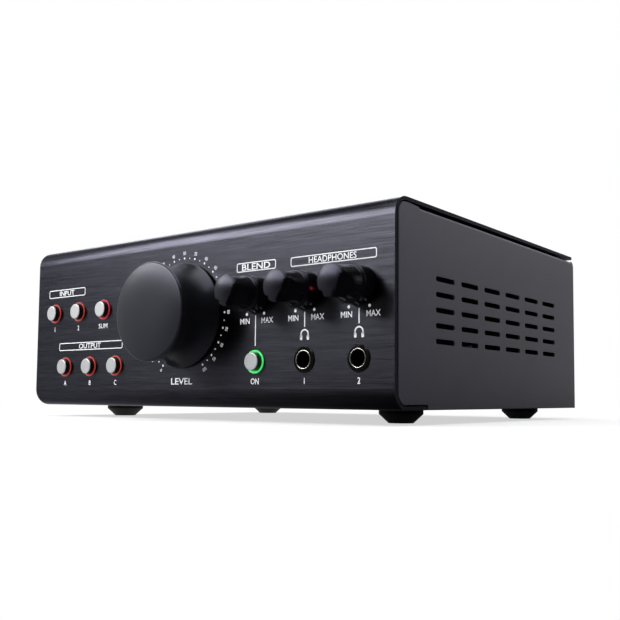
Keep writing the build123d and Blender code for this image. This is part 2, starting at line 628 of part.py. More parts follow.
def button_switch(x, z):
    """The switch behind a button, on the front board, with a well for the plunger."""
    half = SWITCH_WIDTH / 2
    case = block((x - half, x + half), (SWITCH_FRONT, FRONT_BOARD_Y), (z - half, z + half))
    well = PLUNGER_END + BUTTON_TRAVEL + SWITCH_WELL_SPARE
    return case - rod(x, z, (SWITCH_FRONT - 1, well), PLUNGER_R + PLUNGER_CLEARANCE)


# ---------------------------------------------------------------- jacks
def jack(x, z, panel_face, panel_sheet, reach, outward):
    """A 6.35 mm jack: a plastic body behind the panel and a collar through it."""
    inner = panel_face - outward * panel_sheet
    back = inner - outward * JACK_BODY_LENGTH
    front = panel_face + outward * reach
    half_w = JACK_BODY_WIDTH / 2
    half_h = JACK_BODY_HEIGHT / 2
    deep = (min(inner, back), max(inner, back))
    body = block((x - half_w, x + half_w), deep, (z - half_h, z + half_h))
    body += rod(x, z, (inner, front), JACK_COLLAR_R)
    return body - rod(x, z, (back + outward * JACK_BORE_END_WALL, front + outward), JACK_BORE_R)


def jack_nut(x, z):
    """The round collar nut of a front jack, with a chamfered front edge."""
    ring = rod(x, z, (-JACK_COLLAR_REACH, 0), JACK_NUT_R)
    ring = chamfer(ring.edges().filter_by(GeomType.CIRCLE).sort_by(Axis.Y)[0], JACK_NUT_CHAMFER)
    return ring - rod(x, z, (-JACK_COLLAR_REACH - 1, 1), JACK_COLLAR_R + SCREW_CLEARANCE)


def jack_ring(x, z):
    """The bright ferrule on the collar's front."""
    span = (-JACK_COLLAR_REACH - JACK_RING, -JACK_COLLAR_REACH)
    return rod(x, z, span, JACK_RING_R) - rod(x, z, (span[0] - 1, span[1] + 1), JACK_BORE_R)


# ---------------------------------------------------------------- boards
def front_board():
    """The upright board that carries the pots and switches, cut away round the jacks."""
    half = FRONT_BOARD_WIDTH / 2
    tall = (CASE_BOTTOM + FRONT_BOARD_BOTTOM, CASE_BOTTOM + FRONT_BOARD_TOP)
    back = FRONT_BOARD_Y + BOARD
    board = block((-half, half), (FRONT_BOARD_Y, back), tall)
    notch_half = JACK_BODY_WIDTH / 2 + FRONT_BOARD_NOTCH_SIDE
    notch = (JACK_X[0] - notch_half, half + 1)
    notch_top = CASE_BOTTOM + FRONT_BOARD_NOTCH_TOP
    return board - block(notch, (FRONT_BOARD_Y - 1, back + 1), (tall[0] - 1, notch_top))


def main_board():
    """The flat board on six spacers that carries the rear sockets."""
    half = MAIN_BOARD_WIDTH / 2
    board = block((-half, half), (MAIN_BOARD_FRONT, REAR_IN - PANEL_JOIN_GAP), (BOARD_BOTTOM, BOARD_TOP))
    for x in SPACER_X:
        for y in SPACER_Y:
            board -= post(x, y, (BOARD_BOTTOM - 1, BOARD_TOP + 1), SCREW_HOLE_R)
    return board


def spacer(x, y):
    """A tapped spacer under the main board."""
    tube = post(x, y, (BASE_TOP, BOARD_BOTTOM), SPACER_R)
    return tube - post(x, y, (BASE_TOP - 1, BOARD_BOTTOM + 1), SCREW_HOLE_R)


def board_headers():
    """The two sockets that the ribbon plugs into."""
    span = (HEADER_X - HEADER_WIDTH / 2, HEADER_X + HEADER_WIDTH / 2)
    board_back = FRONT_BOARD_Y + BOARD
    half_depth = HEADER_DEPTH / 2
    header_z = CASE_BOTTOM + HEADER_Z
    front_tall = (header_z - half_depth, header_z + half_depth)
    on_front = block(span, (board_back, board_back + HEADER_HEIGHT), front_tall)
    main_span = (MAIN_HEADER_Y - half_depth, MAIN_HEADER_Y + half_depth)
    on_main = block(span, main_span, (BOARD_TOP, BOARD_TOP + HEADER_HEIGHT))
    return [on_front, on_main]


def ribbon_cable():
    """A flat cable: straight back from the front header, then one bend down to the main header."""
    start_y = FRONT_BOARD_Y + BOARD + HEADER_HEIGHT
    header_z = CASE_BOTTOM + HEADER_Z
    end_z = BOARD_TOP + HEADER_HEIGHT
    half = RIBBON_SHEET / 2
    bend_y = MAIN_HEADER_Y - RIBBON_BEND
    bend_z = header_z - RIBBON_BEND
    level = Pos((start_y + bend_y) / 2, header_z) * Rectangle(bend_y - start_y, RIBBON_SHEET)
    drop = Pos(MAIN_HEADER_Y, (end_z + bend_z) / 2) * Rectangle(RIBBON_SHEET, bend_z - end_z)
    disc = Pos(bend_y, bend_z) * (Circle(RIBBON_BEND + half) - Circle(RIBBON_BEND - half))
    corner = Pos(bend_y + RIBBON_BEND, bend_z + RIBBON_BEND) * Rectangle(2 * RIBBON_BEND, 2 * RIBBON_BEND)
    section = Plane.YZ * (level + drop + (disc & corner))
    strip = extrude(section, RIBBON_WIDTH, dir=(1, 0, 0))
    return Pos(HEADER_X - RIBBON_WIDTH / 2, 0, 0) * strip


def capacitors():
    """A row of electrolytic capacitors on the main board."""
    top = BOARD_TOP + CAPACITOR_HEIGHT
    places = [CAPACITOR_FIRST_X + i * CAPACITOR_PITCH for i in range(CAPACITOR_COUNT)]
    return [post(x, CAPACITOR_Y, (BOARD_TOP, top), CAPACITOR_R) for x in places if x < MAIN_BOARD_WIDTH / 2]


def relays():
    """A row of signal relays on the main board."""
    top = BOARD_TOP + RELAY_HEIGHT
    half = RELAY_WIDTH / 2
    deep = (RELAY_Y, RELAY_Y + RELAY_LENGTH)
    places = [RELAY_FIRST_X + i * RELAY_PITCH for i in range(RELAY_COUNT)]
    return [block((x - half, x + half), deep, (BOARD_TOP, top)) for x in places]


# ---------------------------------------------------------------- rear sockets
def phono_block(x):
    """A double phono socket: block, two noses, and an insulated core in each."""
    half = PHONO_BLOCK_WIDTH / 2
    deep = (REAR_IN - PHONO_BLOCK_DEPTH, REAR_IN)
    socket = block((x - half, x + half), deep, (BOARD_TOP, PHONO_Z[1] + PHONO_BLOCK_TOP))
    nose_face = REAR_OUT + PHONO_NOSE_REACH
    core_face = nose_face + PHONO_CORE_LENGTH
    core_r = PHONO_SHELL_R - PHONO_SHELL_WALL
    for z in PHONO_Z:
        socket += rod(x, z, (REAR_IN, nose_face), PHONO_NOSE_R)
        socket += rod(x, z, (nose_face, core_face), core_r)
        socket -= rod(x, z, (core_face - PHONO_CONTACT_DEPTH, core_face + 1), PHONO_CONTACT_R)
    return socket


def phono_shell(x, z):
    """The metal shell that a phono plug grips."""
    nose_face = REAR_OUT + PHONO_NOSE_REACH
    tip = nose_face + PHONO_SHELL_LENGTH
    shell = rod(x, z, (nose_face, tip), PHONO_SHELL_R)
    return shell - rod(x, z, (nose_face - 1, tip + 1), PHONO_SHELL_R - PHONO_SHELL_WALL)


def usb_socket():
    """A square USB-B socket with its tongue."""
    half = USB_WIDTH / 2
    face = REAR_OUT + USB_REACH
    tall = (BOARD_TOP, BOARD_TOP + USB_HEIGHT)
    shell = block((USB_X - half, USB_X + half), (REAR_IN - USB_DEPTH, face), tall)
    mouth_half = USB_MOUTH_WIDTH / 2
    mouth_tall = (USB_Z - USB_MOUTH_HEIGHT / 2, USB_Z + USB_MOUTH_HEIGHT / 2)
    shell -= block((USB_X - mouth_half, USB_X + mouth_half), (face - USB_MOUTH_DEPTH, face + 1), mouth_tall)
    tongue_half = USB_TONGUE_WIDTH / 2
    tongue_tall = (USB_Z - USB_TONGUE_HEIGHT / 2, USB_Z + USB_TONGUE_HEIGHT / 2)
    tongue_deep = (face - USB_MOUTH_DEPTH, face - USB_TONGUE_INSET)
    return shell + block((USB_X - tongue_half, USB_X + tongue_half), tongue_deep, tongue_tall)


def dc_inlet():
    """A barrel power inlet with its centre pin."""
    half = INLET_WIDTH / 2
    face = REAR_OUT + INLET_REACH
    tall = (BOARD_TOP, BOARD_TOP + INLET_HEIGHT)
    body = block((POWER_X - half, POWER_X + half), (REAR_IN - INLET_DEPTH, REAR_IN), tall)
    body += rod(POWER_X, INLET_Z, (REAR_IN, face), INLET_NOSE_R)
    body -= rod(POWER_X, INLET_Z, (face - INLET_BORE_DEPTH, face + 1), INLET_BORE_R)
    return body + rod(POWER_X, INLET_Z, (face - INLET_BORE_DEPTH, face - INLET_PIN_INSET), INLET_PIN_R)


def power_switch():
    """The rocker switch's frame, with a bezel outside the rear panel."""
    z = CASE_BOTTOM + SWITCH_Z
    half = SWITCH_BODY_WIDTH / 2
    tall = SWITCH_BODY_HEIGHT / 2
    deep = (REAR_OUT - SWITCH_BODY_DEPTH, REAR_OUT)
    frame = block((POWER_X - half, POWER_X + half), deep, (z - tall, z + tall))
    bezel_half = SWITCH_BEZEL_WIDTH / 2
    bezel_tall = SWITCH_BEZEL_HEIGHT / 2
    bezel_deep = (REAR_OUT, REAR_OUT + SWITCH_BEZEL)
    bezel_across = (POWER_X - bezel_half, POWER_X + bezel_half)
    bezel = block(bezel_across, bezel_deep, (z - bezel_tall, z + bezel_tall))
    frame += chamfer(bezel.faces().sort_by(Axis.Y)[-1].edges(), SWITCH_BEZEL / 3)
    mouth_half = SWITCH_MOUTH_WIDTH / 2
    mouth_tall = SWITCH_MOUTH_HEIGHT / 2
    mouth_deep = (REAR_OUT - SWITCH_MOUTH_DEPTH, REAR_OUT + SWITCH_BEZEL + 1)
    mouth_across = (POWER_X - mouth_half, POWER_X + mouth_half)
    frame -= block(mouth_across, mouth_deep, (z - mouth_tall, z + mouth_tall))
    pin_reach = mouth_half - ROCKER_GAP + ROCKER_PIN + ROCKER_GAP
    socket = Rot(0, 90, 0) * Cylinder(ROCKER_PIN_R + ROCKER_PIN_CLEARANCE, 2 * pin_reach)
    return frame - Pos(POWER_X, REAR_OUT, z) * socket


def power_rocker():
    """The rocker, a shallow V on two pivot pins, lying at its off end."""
    half = SWITCH_MOUTH_WIDTH / 2 - ROCKER_GAP
    corners = [
        (ROCKER_LIFT, ROCKER_HALF),
        (ROCKER_MIDDLE, 0),
        (ROCKER_LIFT, -ROCKER_HALF),
        (0, -ROCKER_HALF),
        (-ROCKER_ROOT, -ROCKER_HALF / 3),
        (-ROCKER_ROOT, ROCKER_HALF / 3),
        (0, ROCKER_HALF),
    ]
    section = Plane.YZ * make_face(Polyline(*corners, close=True))
    rocker = Pos(-half, 0, 0) * extrude(section, 2 * half, dir=(1, 0, 0))
    rocker += Rot(0, 90, 0) * Cylinder(ROCKER_PIN_R, 2 * (half + ROCKER_PIN))
    return Pos(POWER_X, REAR_OUT, CASE_BOTTOM + SWITCH_Z) * Rot(-ROCKER_TILT, 0, 0) * rocker


# ---------------------------------------------------------------- feet and screws
def foot(x, y):
    """A rubber foot with a chamfer and a well for its screw."""
    corners = [(0, 0), (FOOT_FLAT_R, 0), (FOOT_R, FOOT_CHAMFER), (FOOT_R, FOOT_HEIGHT), (0, FOOT_HEIGHT)]
    outline = Plane.XZ * make_face(Polyline(*corners, close=True))
    body = revolve(outline, Axis.Z, 360)
    body -= post(0, 0, (-1, FOOT_WELL), FOOT_WELL_R)
    body -= post(0, 0, (0, FOOT_HEIGHT + 1), SCREW_HOLE_R)
    return Pos(x, y, 0) * body


def screw(length):
    """A pan head screw that points up, with the underside of its head at Z = 0."""
    head = post(0, 0, (-SCREW_HEAD, 0), SCREW_HEAD_R)
    head = fillet(head.edges().filter_by(GeomType.CIRCLE).sort_by(Axis.Z)[0], SCREW_HEAD / 2)
    return head + post(0, 0, (0, length), SCREW_R)


def flush_screw(length):
    """A countersunk screw that points up, with the flat top of its head at Z = 0."""
    head = Pos(0, 0, FLUSH_HEAD / 2) * Cone(FLUSH_HEAD_R, SCREW_R, FLUSH_HEAD)
    return head + post(0, 0, (0, length), SCREW_R)


def case_screws():
    """The screws of the cover, the base and the rear panel. Only the rear ones stand proud."""
    one = screw(CASE_SCREW_LENGTH)
    flush = flush_screw(CASE_SCREW_LENGTH)
    placed = [Pos(x, LIP_SCREW_Y, CASE_BOTTOM) * flush for x in LIP_SCREW_X]
    for x in (-COVER_SCREW_X, COVER_SCREW_X):
        placed.append(Pos(x, COVER_SCREW_Y, CASE_TOP) * Rot(180, 0, 0) * flush)
        placed += [Pos(x, y, CASE_BOTTOM) * flush for y in BASE_SCREW_Y]
        placed += [Pos(x, REAR_OUT, CASE_BOTTOM + z) * Rot(90, 0, 0) * one for z in REAR_SCREW_Z]
    return placed


# ---------------------------------------------------------------- write every node
save("front_top_cover", front_top_cover())
right_side = side_panel()
save("right_side_panel", right_side)
save("left_side_panel", mirror(right_side, Plane.YZ))
save("base_plate", base_plate())
save("rear_panel", rear_panel())

volume_place = (VOLUME_X, CASE_BOTTOM + VOLUME_Z)
save("volume_knob", volume_knob())
save("volume_pot", pot(*volume_place, VOLUME_POT_WIDTH, VOLUME_BUSH_R, VOLUME_BUSH_REACH))
save("volume_shaft", shaft(*volume_place, SHAFT_LONG))
nuts = [nut(*volume_place, (-VOLUME_NUT_HEIGHT, 0), VOLUME_NUT_ACROSS, VOLUME_BUSH_R)]
for name, x in zip(KNOB_NAMES, KNOB_X):
    save(f"{name}_knob", small_knob(x))
    save(f"{name}_pot", pot(x, KNOB_Z, POT_BODY_WIDTH, SMALL_BUSH_R, SMALL_BUSH_REACH))
    save(f"{name}_shaft", shaft(x, KNOB_Z, SHAFT_SHORT))
    nuts.append(nut(x, KNOB_Z, (-SMALL_NUT_HEIGHT, 0), SMALL_NUT_ACROSS, SMALL_BUSH_R))
save("pot_nuts", *nuts)

for name, (x, z) in BUTTONS.items():
    save(f"{name}_button", button(x, z))
    save(f"{name}_light_ring", light_ring(x, z))
save("power_lamp", power_lamp())
save("button_switches", *[button_switch(x, z) for x, z in BUTTONS.values()])

for number, x in enumerate(JACK_X, start=1):
    save(f"phones_jack_{number}", jack(x, JACK_Z, 0.0, COVER_SHEET, JACK_COLLAR_REACH, -1))
save("phones_jack_nuts", *[jack_nut(x, JACK_Z) for x in JACK_X])
save("phones_jack_rings", *[jack_ring(x, JACK_Z) for x in JACK_X])

rear_nuts = []
for name, places in REAR_JACK_X.items():
    through_rear = (REAR_OUT, REAR_SHEET, REAR_COLLAR_REACH, 1)
    save(f"{name}_jacks", *[jack(x, REAR_JACK_Z, *through_rear) for x in places])
    nut_span = (REAR_OUT, REAR_OUT + REAR_NUT_HEIGHT)
    rear_nuts += [nut(x, REAR_JACK_Z, nut_span, REAR_NUT_ACROSS, JACK_COLLAR_R) for x in places]
save("rear_jack_nuts", *rear_nuts)
save("phono_blocks", *[phono_block(x) for x in PHONO_X])
save("phono_shells", *[phono_shell(x, z) for x in PHONO_X for z in PHONO_Z])
save("usb_socket", usb_socket())
save("dc_inlet", dc_inlet())
save("power_switch", power_switch())
save("power_rocker", power_rocker())

save("front_board", front_board())
save("main_board", main_board())
save("board_spacers", *[spacer(x, y) for x in SPACER_X for y in SPACER_Y])
board_screw = screw(SCREW_LENGTH)
board_screws = [Pos(x, y, BOARD_TOP) * Rot(180, 0, 0) * board_screw for x in SPACER_X for y in SPACER_Y]
save("board_screws", *board_screws)
save("board_headers", *board_headers())
save("ribbon_cable", ribbon_cable())
save("capacitors", *capacitors())
save("relays", *relays())

foot_places = [(x, y) for x in (-FOOT_X, FOOT_X) for y in (FOOT_FRONT_Y, FOOT_REAR_Y)]
foot_screw = screw(SCREW_LENGTH)
save("feet", *[foot(x, y) for x, y in foot_places])
save("foot_screws", *[Pos(x, y, FOOT_WELL) * foot_screw for x, y in foot_places])
save("case_screws", *case_screws())
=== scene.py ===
# %% [markdown]
# A desktop monitor controller: the box on a studio desk that picks a source, sets the level and
# feeds two pairs of headphones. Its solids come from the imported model, already in place. This
# lesson gives them their finishes, prints the panel, and turns the pieces whose curves need a
# finer mesh than the solids have. Everything is in metres, so sizes are written in millimetres
# and multiplied by MM.

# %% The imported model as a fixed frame
import bmesh
import bpy
from math import cos, pi, radians, sin
from mathutils import Matrix, Vector


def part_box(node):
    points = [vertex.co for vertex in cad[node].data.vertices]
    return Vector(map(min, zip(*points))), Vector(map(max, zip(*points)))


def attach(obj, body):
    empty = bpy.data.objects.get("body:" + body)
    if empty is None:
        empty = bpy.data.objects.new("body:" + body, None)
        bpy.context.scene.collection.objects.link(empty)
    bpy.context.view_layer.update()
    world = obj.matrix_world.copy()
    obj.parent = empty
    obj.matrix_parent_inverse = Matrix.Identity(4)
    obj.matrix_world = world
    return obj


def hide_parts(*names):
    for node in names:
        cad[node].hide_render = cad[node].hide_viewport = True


MM = 0.001
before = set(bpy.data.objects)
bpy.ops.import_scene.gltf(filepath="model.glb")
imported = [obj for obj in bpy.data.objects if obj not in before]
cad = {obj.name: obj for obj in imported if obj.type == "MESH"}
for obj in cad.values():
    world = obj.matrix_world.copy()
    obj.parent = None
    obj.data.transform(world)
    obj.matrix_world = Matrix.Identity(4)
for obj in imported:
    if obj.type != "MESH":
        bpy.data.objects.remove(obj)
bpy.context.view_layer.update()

# %% [markdown]
# The view is close and low: the eye is level with the underside of the case, less than half a
# metre away, which makes the near corner tall and the far end of the panel small. The camera is
# placed from the case itself, so it follows the panel's face if the model's origin moves. The
# frame is 620 pixels wide, and its centre lies 30 pixels off the lens's axis both ways.

# %% Camera
PICTURE = 620
FOCAL_PIXELS = 824.44
CENTRE_OFFSET = 30.0
SENSOR_WIDTH = 36.0
CAMERA_X = 295.31
CAMERA_BEFORE_FACE = 269.41
CAMERA_ABOVE_UNDERSIDE = 5.18
CAMERA_HEADING = 36.855
CAMERA_PITCH = 93.966
CAMERA_ROLL = 0.391

cover_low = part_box("front_top_cover")[0]
FACE_Y = cover_low.y
UNDERSIDE = cover_low.z
camera_data = bpy.data.cameras.new("camera")
camera_data.sensor_width = SENSOR_WIDTH
camera_data.lens = SENSOR_WIDTH * FOCAL_PIXELS / PICTURE
camera_data.shift_x = -CENTRE_OFFSET / PICTURE
camera_data.shift_y = CENTRE_OFFSET / PICTURE
camera_data.clip_start = 0.01
camera = bpy.data.objects.new("camera", camera_data)
eye = Vector((CAMERA_X * MM, FACE_Y - CAMERA_BEFORE_FACE * MM,
              UNDERSIDE + CAMERA_ABOVE_UNDERSIDE * MM))
pitch = Matrix.Rotation(radians(CAMERA_PITCH), 4, "X")
turn = Matrix.Rotation(radians(CAMERA_HEADING), 4, "Z") @ pitch
roll = Matrix.Rotation(radians(CAMERA_ROLL), 4, "Z")
camera.matrix_world = Matrix.Translation(eye) @ turn @ roll
bpy.context.scene.collection.objects.link(camera)
bpy.context.scene.camera = camera
bpy.context.scene.view_settings.view_transform = "Standard"
print("lens in mm:", round(camera_data.lens, 2), "eye in mm:", [round(v / MM, 1) for v in eye])

# %% [markdown]
# Colours are written as the hex values that a picture editor shows, and Blender works with
# linear light, so one function converts them. Another adds a node to a tree with its settings and
# links, and short ones built on it make the nodes that come back in nearly every material.

# %% Colour and node helpers
def colour(code, alpha=1.0):
    """The linear value of a colour written as #rrggbb."""
    parts = [int(code[i:i + 2], 16) / 255 for i in (1, 3, 5)]
    linear = [p / 12.92 if p <= 0.04045 else ((p + 0.055) / 1.055) ** 2.4 for p in parts]
    return (*linear, alpha)


def add(tree, kind, inputs=None, **settings):
    """Adds a node, sets it up, and fills its sockets with values or with other sockets."""
    made = tree.nodes.new(kind)
    for name, value in settings.items():
        setattr(made, name, value)
    for socket, value in (inputs or {}).items():
        if isinstance(value, bpy.types.NodeSocket):
            tree.links.new(value, made.inputs[socket])
        else:
            made.inputs[socket].default_value = value
    return made


def start_material(name, **sockets):
    """A new material's tree and Principled shader, with the constants on the shader's sockets."""
    material = bpy.data.materials.new(name)
    material.use_nodes = True
    tree = material.node_tree
    shader = tree.nodes["Principled BSDF"]
    for socket, value in sockets.items():
        shader.inputs[socket.replace("_", " ")].default_value = value
    return material, tree, shader


def noise(tree, place, scale, detail, **sockets):
    """The value of a noise texture, with its scale in waves per metre."""
    inputs = {"Vector": place, "Scale": scale, "Detail": detail, **sockets}
    return add(tree, "ShaderNodeTexNoise", inputs).outputs["Fac"]


def mix(tree, share, first, second):
    """A colour between two others, by a share from 0 to 1."""
    inputs = {0: share, 6: first, 7: second}
    return add(tree, "ShaderNodeMix", inputs, data_type="RGBA").outputs[2]


def ranged(tree, value, low, high, start=0.0, end=1.0, **settings):
    """A value that runs from low to high while the given one runs from start to end."""
    inputs = {"Value": value, "From Min": start, "From Max": end, "To Min": low, "To Max": high}
    return add(tree, "ShaderNodeMapRange", inputs, **settings).outputs["Result"]


def combined(tree, operation, first, second):
    """The result of a mathematical operation on two values."""
    return add(tree, "ShaderNodeMath", {0: first, 1: second}, operation=operation).outputs[0]


def dress(tree, shader, tone, rough, bump=None):
    """Links a colour, a roughness and, where there is one, a bump node to a shader."""
    tree.links.new(tone, shader.inputs["Base Color"])
    tree.links.new(rough, shader.inputs["Roughness"])
    if bump:
        tree.links.new(bump.outputs["Normal"], shader.inputs["Normal"])


print("mid grey in linear light:", round(colour("#808080")[0], 3))

# %% [markdown]
# The stand is a disc of white paper. Near the object it is mostly paper, so it keeps a soft
# shadow, and further out it turns into plain white light for the camera, so no horizon shows.
# Mirrors see that white behind the object, where a backdrop would hang, and on the left. In front
# and on the right they see the dark side of the room, so glossy black plastic stays black.

# %% Paper floor
FLOOR_RADIUS = 4.0

floor_mesh = bpy.data.meshes.new("floor")
bm = bmesh.new()
bmesh.ops.create_circle(bm, cap_ends=True, radius=FLOOR_RADIUS, segments=128)
bm.to_mesh(floor_mesh)
bm.free()
floor = bpy.data.objects.new("floor", floor_mesh)
bpy.context.scene.collection.objects.link(floor)
paper, tree, shader = start_material("white_paper_sweep", Roughness=0.9, Specular_IOR_Level=0.1)
place = add(tree, "ShaderNodeTexCoord").outputs["Object"]
grain = noise(tree, place, 400.0, 3.0)
tree.links.new(mix(tree, grain, colour("#d2d2d4"), colour("#dadadc")), shader.inputs["Base Color"])
distance = add(tree, "ShaderNodeVectorMath", {0: place}, operation="LENGTH").outputs["Value"]
fade = ranged(tree, distance, 0.62, 1.0, start=0.12, end=0.42, interpolation_type="SMOOTHSTEP")
along = add(tree, "ShaderNodeSeparateXYZ", {0: place}).outputs
backdrop = ranged(tree, along["Y"], 0.0, 1.0, start=0.15, end=0.5)
leftwards = ranged(tree, along["X"], 0.0, 0.8, start=0.12, end=-0.13)
rays = add(tree, "ShaderNodeLightPath").outputs
mirrored = combined(tree, "MAXIMUM", rays["Is Glossy Ray"], rays["Is Transmission Ray"])
white = combined(tree, "MAXIMUM", leftwards, backdrop)
white = combined(tree, "MAXIMUM", rays["Is Camera Ray"], white)
shade = mix(tree, white, colour("#242427"), colour("#ffffff"))
faded = combined(tree, "MULTIPLY", rays["Is Camera Ray"], fade)
whiter = combined(tree, "MAXIMUM", faded, mirrored)
glow = add(tree, "ShaderNodeEmission", {"Color": shade, "Strength": 1.0}).outputs[0]
blend = add(tree, "ShaderNodeMixShader", {0: whiter, 1: shader.outputs[0], 2: glow})
tree.links.new(blend.outputs[0], tree.nodes["Material Output"].inputs["Surface"])
floor_mesh.materials.append(paper)
print("floor:", floor_mesh.materials[0].name, "radius", FLOOR_RADIUS, "m")

# %% [markdown]
# The world is the room round the table: a pale wall on the left, white behind for what shows in a
# mirror, and dark on the other sides, so that glossy black plastic stays black. The camera sees it
# as plain white on every side.

# %% Room
world = bpy.data.worlds.new("studio")
bpy.context.scene.world = world
world.use_nodes = True
tree = world.node_tree
background = tree.nodes["Background"]
direction = add(tree, "ShaderNodeTexCoord").outputs["Generated"]


def facing(towards, start, end):
    """How much a direction of the world points towards a side, from 0 to 1."""
    dot = add(tree, "ShaderNodeVectorMath", {0: direction, 1: towards}, operation="DOT_PRODUCT")
    return ranged(tree, dot.outputs["Value"], 0.0, 1.0, start, end, interpolation_type="SMOOTHSTEP")


left = facing(Vector((-0.92, -0.30, 0.25)).normalized(), 0.76, 0.95)
behind = facing(Vector((-0.45, 0.89, 0.05)).normalized(), 0.3, 0.9)
rays = add(tree, "ShaderNodeLightPath").outputs
mirrored = combined(tree, "MAXIMUM", rays["Is Glossy Ray"], rays["Is Transmission Ray"])
mirrored = combined(tree, "MULTIPLY", mirrored, behind)
white = combined(tree, "MAXIMUM", rays["Is Camera Ray"], mirrored)
wall = mix(tree, left, colour("#222326"), colour("#f4f5f7"))
tree.links.new(mix(tree, white, wall, colour("#ffffff")), background.inputs["Color"])
background.inputs["Strength"].default_value = 1.0
print("room:", world.name)

# %% [markdown]
# Soft boxes light the object: the key at the front left and high, whose lower edge fades down the
# panel, a long one overhead, two behind that draw a bright line along the top bend and the side's
# upper edge, and a weak one on the right that keeps the side readable. They are area lamps, so
# their reflections have soft edges.

# %% Lamps
def soft_box(name, place, aim, size, watts):
    """A rectangular area lamp, placed and sized in millimetres and turned to face a point."""
    lamp = bpy.data.lights.new(name, "AREA")
    lamp.shape = "RECTANGLE"
    lamp.size, lamp.size_y = size[0] * MM, size[1] * MM
    lamp.energy = watts
    box = bpy.data.objects.new(name, lamp)
    place, aim = Vector(place) * MM, Vector(aim) * MM
    turned_to_aim = (aim - place).to_track_quat("-Z", "Y").to_matrix().to_4x4()
    box.matrix_world = Matrix.Translation(place) @ turned_to_aim
    box.visible_camera = False
    bpy.context.scene.collection.objects.link(box)
    print(name, "at", [round(v) for v in place / MM], "mm,", watts, "W")


soft_box("key_box", (-720, -920, 690), (0, -60, 50), (1000, 600), 24)
soft_box("hair_box", (-800, 700, 850), (0, -60, 60), (900, 600), 9)
soft_box("rim_box", (430, 1150, 900), (110, 0, 60), (400, 1000), 5)
soft_box("top_box", (150, -120, 1000), (60, -60, 50), (1200, 900), 16)
soft_box("side_fill", (1100, 500, 500), (100, 20, 40), (600, 600), 1.5)

# %% [markdown]
# The cover is one aluminium sheet, brushed along its length and anodised black. Brushing leaves
# grooves a few hundredths of a millimetre apart, so the light smears across them, up and down
# the panel, and the dye in the oxide keeps the metal's reflection dark. The strokes are drawn
# 0.5 mm apart, about twenty times too coarse, because finer ones would be lost between the pixels,
# and a slower set of bands shows where the brushing belt pressed harder. At a grazing angle the
# dye still takes half of the light, which is what the specular tint of a metal says.

# %% Brushed black aluminium
BAND_SHARE = 0.22

anodised, tree, shader = start_material("black_anodised_brushed_aluminium", Metallic=1.0,
                                        Anisotropic=0.8, Anisotropic_Rotation=0.25,
                                        Specular_Tint=colour("#c0c0c4"))
place = add(tree, "ShaderNodeTexCoord").outputs["Object"]
along = add(tree, "ShaderNodeMapping", {"Vector": place, "Scale": (48.0, 2100.0, 2100.0)})
strokes = noise(tree, along.outputs[0], 1.0, 4.0, Roughness=0.7)
wide = add(tree, "ShaderNodeMapping", {"Vector": place, "Scale": (6.0, 420.0, 420.0)})
bands = noise(tree, wide.outputs[0], 1.0, 3.0)
brushing = add(tree, "ShaderNodeMix", {0: BAND_SHARE, 2: strokes, 3: bands}).outputs[0]
tone = add(tree, "ShaderNodeValToRGB", {"Fac": brushing})
tone.color_ramp.elements[0].position = 0.34
tone.color_ramp.elements[0].color = colour("#252529")
tone.color_ramp.elements[1].position = 0.66
tone.color_ramp.elements[1].color = colour("#3b3b42")
grooves = add(tree, "ShaderNodeBump", {"Strength": 0.16, "Distance": 0.00002, "Height": strokes})
dress(tree, shader, tone.outputs["Color"], ranged(tree, brushing, 0.19, 0.28), grooves)
lengthwise = add(tree, "ShaderNodeCombineXYZ", {"X": 1.0})
tree.links.new(lengthwise.outputs[0], shader.inputs["Tangent"])
print("cover:", anodised.name)

# %% [markdown]
# The sides, the base and the rear are folded steel with a powder coat: charged powder baked to a
# skin. It is even and half dull, with a fine orange peel about half a millimetre across.

# %% Powder coat
powder, tree, shader = start_material("charcoal_powder_coat", Specular_IOR_Level=0.5,
                                      Specular_Tint=colour("#d4d4f4"))
place = add(tree, "ShaderNodeTexCoord").outputs["Object"]
peel = noise(tree, place, 1900.0, 2.0)
tone = mix(tree, noise(tree, place, 60.0, 3.0), colour("#201f25"), colour("#26252b"))
skin = add(tree, "ShaderNodeBump", {"Strength": 0.25, "Distance": 0.00003, "Height": peel})
dress(tree, shader, tone, ranged(tree, peel, 0.40, 0.56), skin)
print("sides, base and rear:", powder.name)

# %% [markdown]
# Moulded plastics differ mostly in how the mould was finished. One helper makes the ones that
# share a recipe: a base colour that varies a little, a roughness that varies with it, and a
# grain whose size is given in millimetres.

# %% Moulded plastics and rubber
def moulded(name, dark, light, low, high, grain_mm, depth_mm, **sockets):
    """A moulded material with a colour that varies from dark to light and a fine grain."""
    material, tree, shader = start_material(name, **sockets)
    place = add(tree, "ShaderNodeTexCoord").outputs["Object"]
    grain = noise(tree, place, 1000.0 / grain_mm, 2.0)
    tone = mix(tree, noise(tree, place, 90.0, 3.0), colour(dark), colour(light))
    bump = {"Strength": 0.3, "Distance": depth_mm * MM, "Height": grain}
    skin = add(tree, "ShaderNodeBump", bump)
    dress(tree, shader, tone, ranged(tree, grain, low, high), skin)
    print("moulded:", name)
    return material


# The big knob has a rubbery paint: half matt, with a soft bluish bloom in place of a highlight.
soft_touch = moulded("soft_touch_black_abs", "#08080b", "#0d0d11", 0.26, 0.33, 0.5, 0.006,
                     Specular_IOR_Level=0.28, Specular_Tint=colour("#e2e4ff"))
# The finger knobs come from a polished mould, so they mirror the room, a little blurred.
polished = moulded("polished_black_abs", "#040406", "#070709", 0.20, 0.27, 0.8, 0.002,
                   Specular_IOR_Level=0.2, Specular_Tint=colour("#dcdeff"))
# Jack bodies, collars and sockets are glass-filled nylon with a dull, even skin.
nylon = moulded("black_nylon", "#060608", "#0a0a0c", 0.24, 0.34, 0.4, 0.01,
                Specular_IOR_Level=0.25)
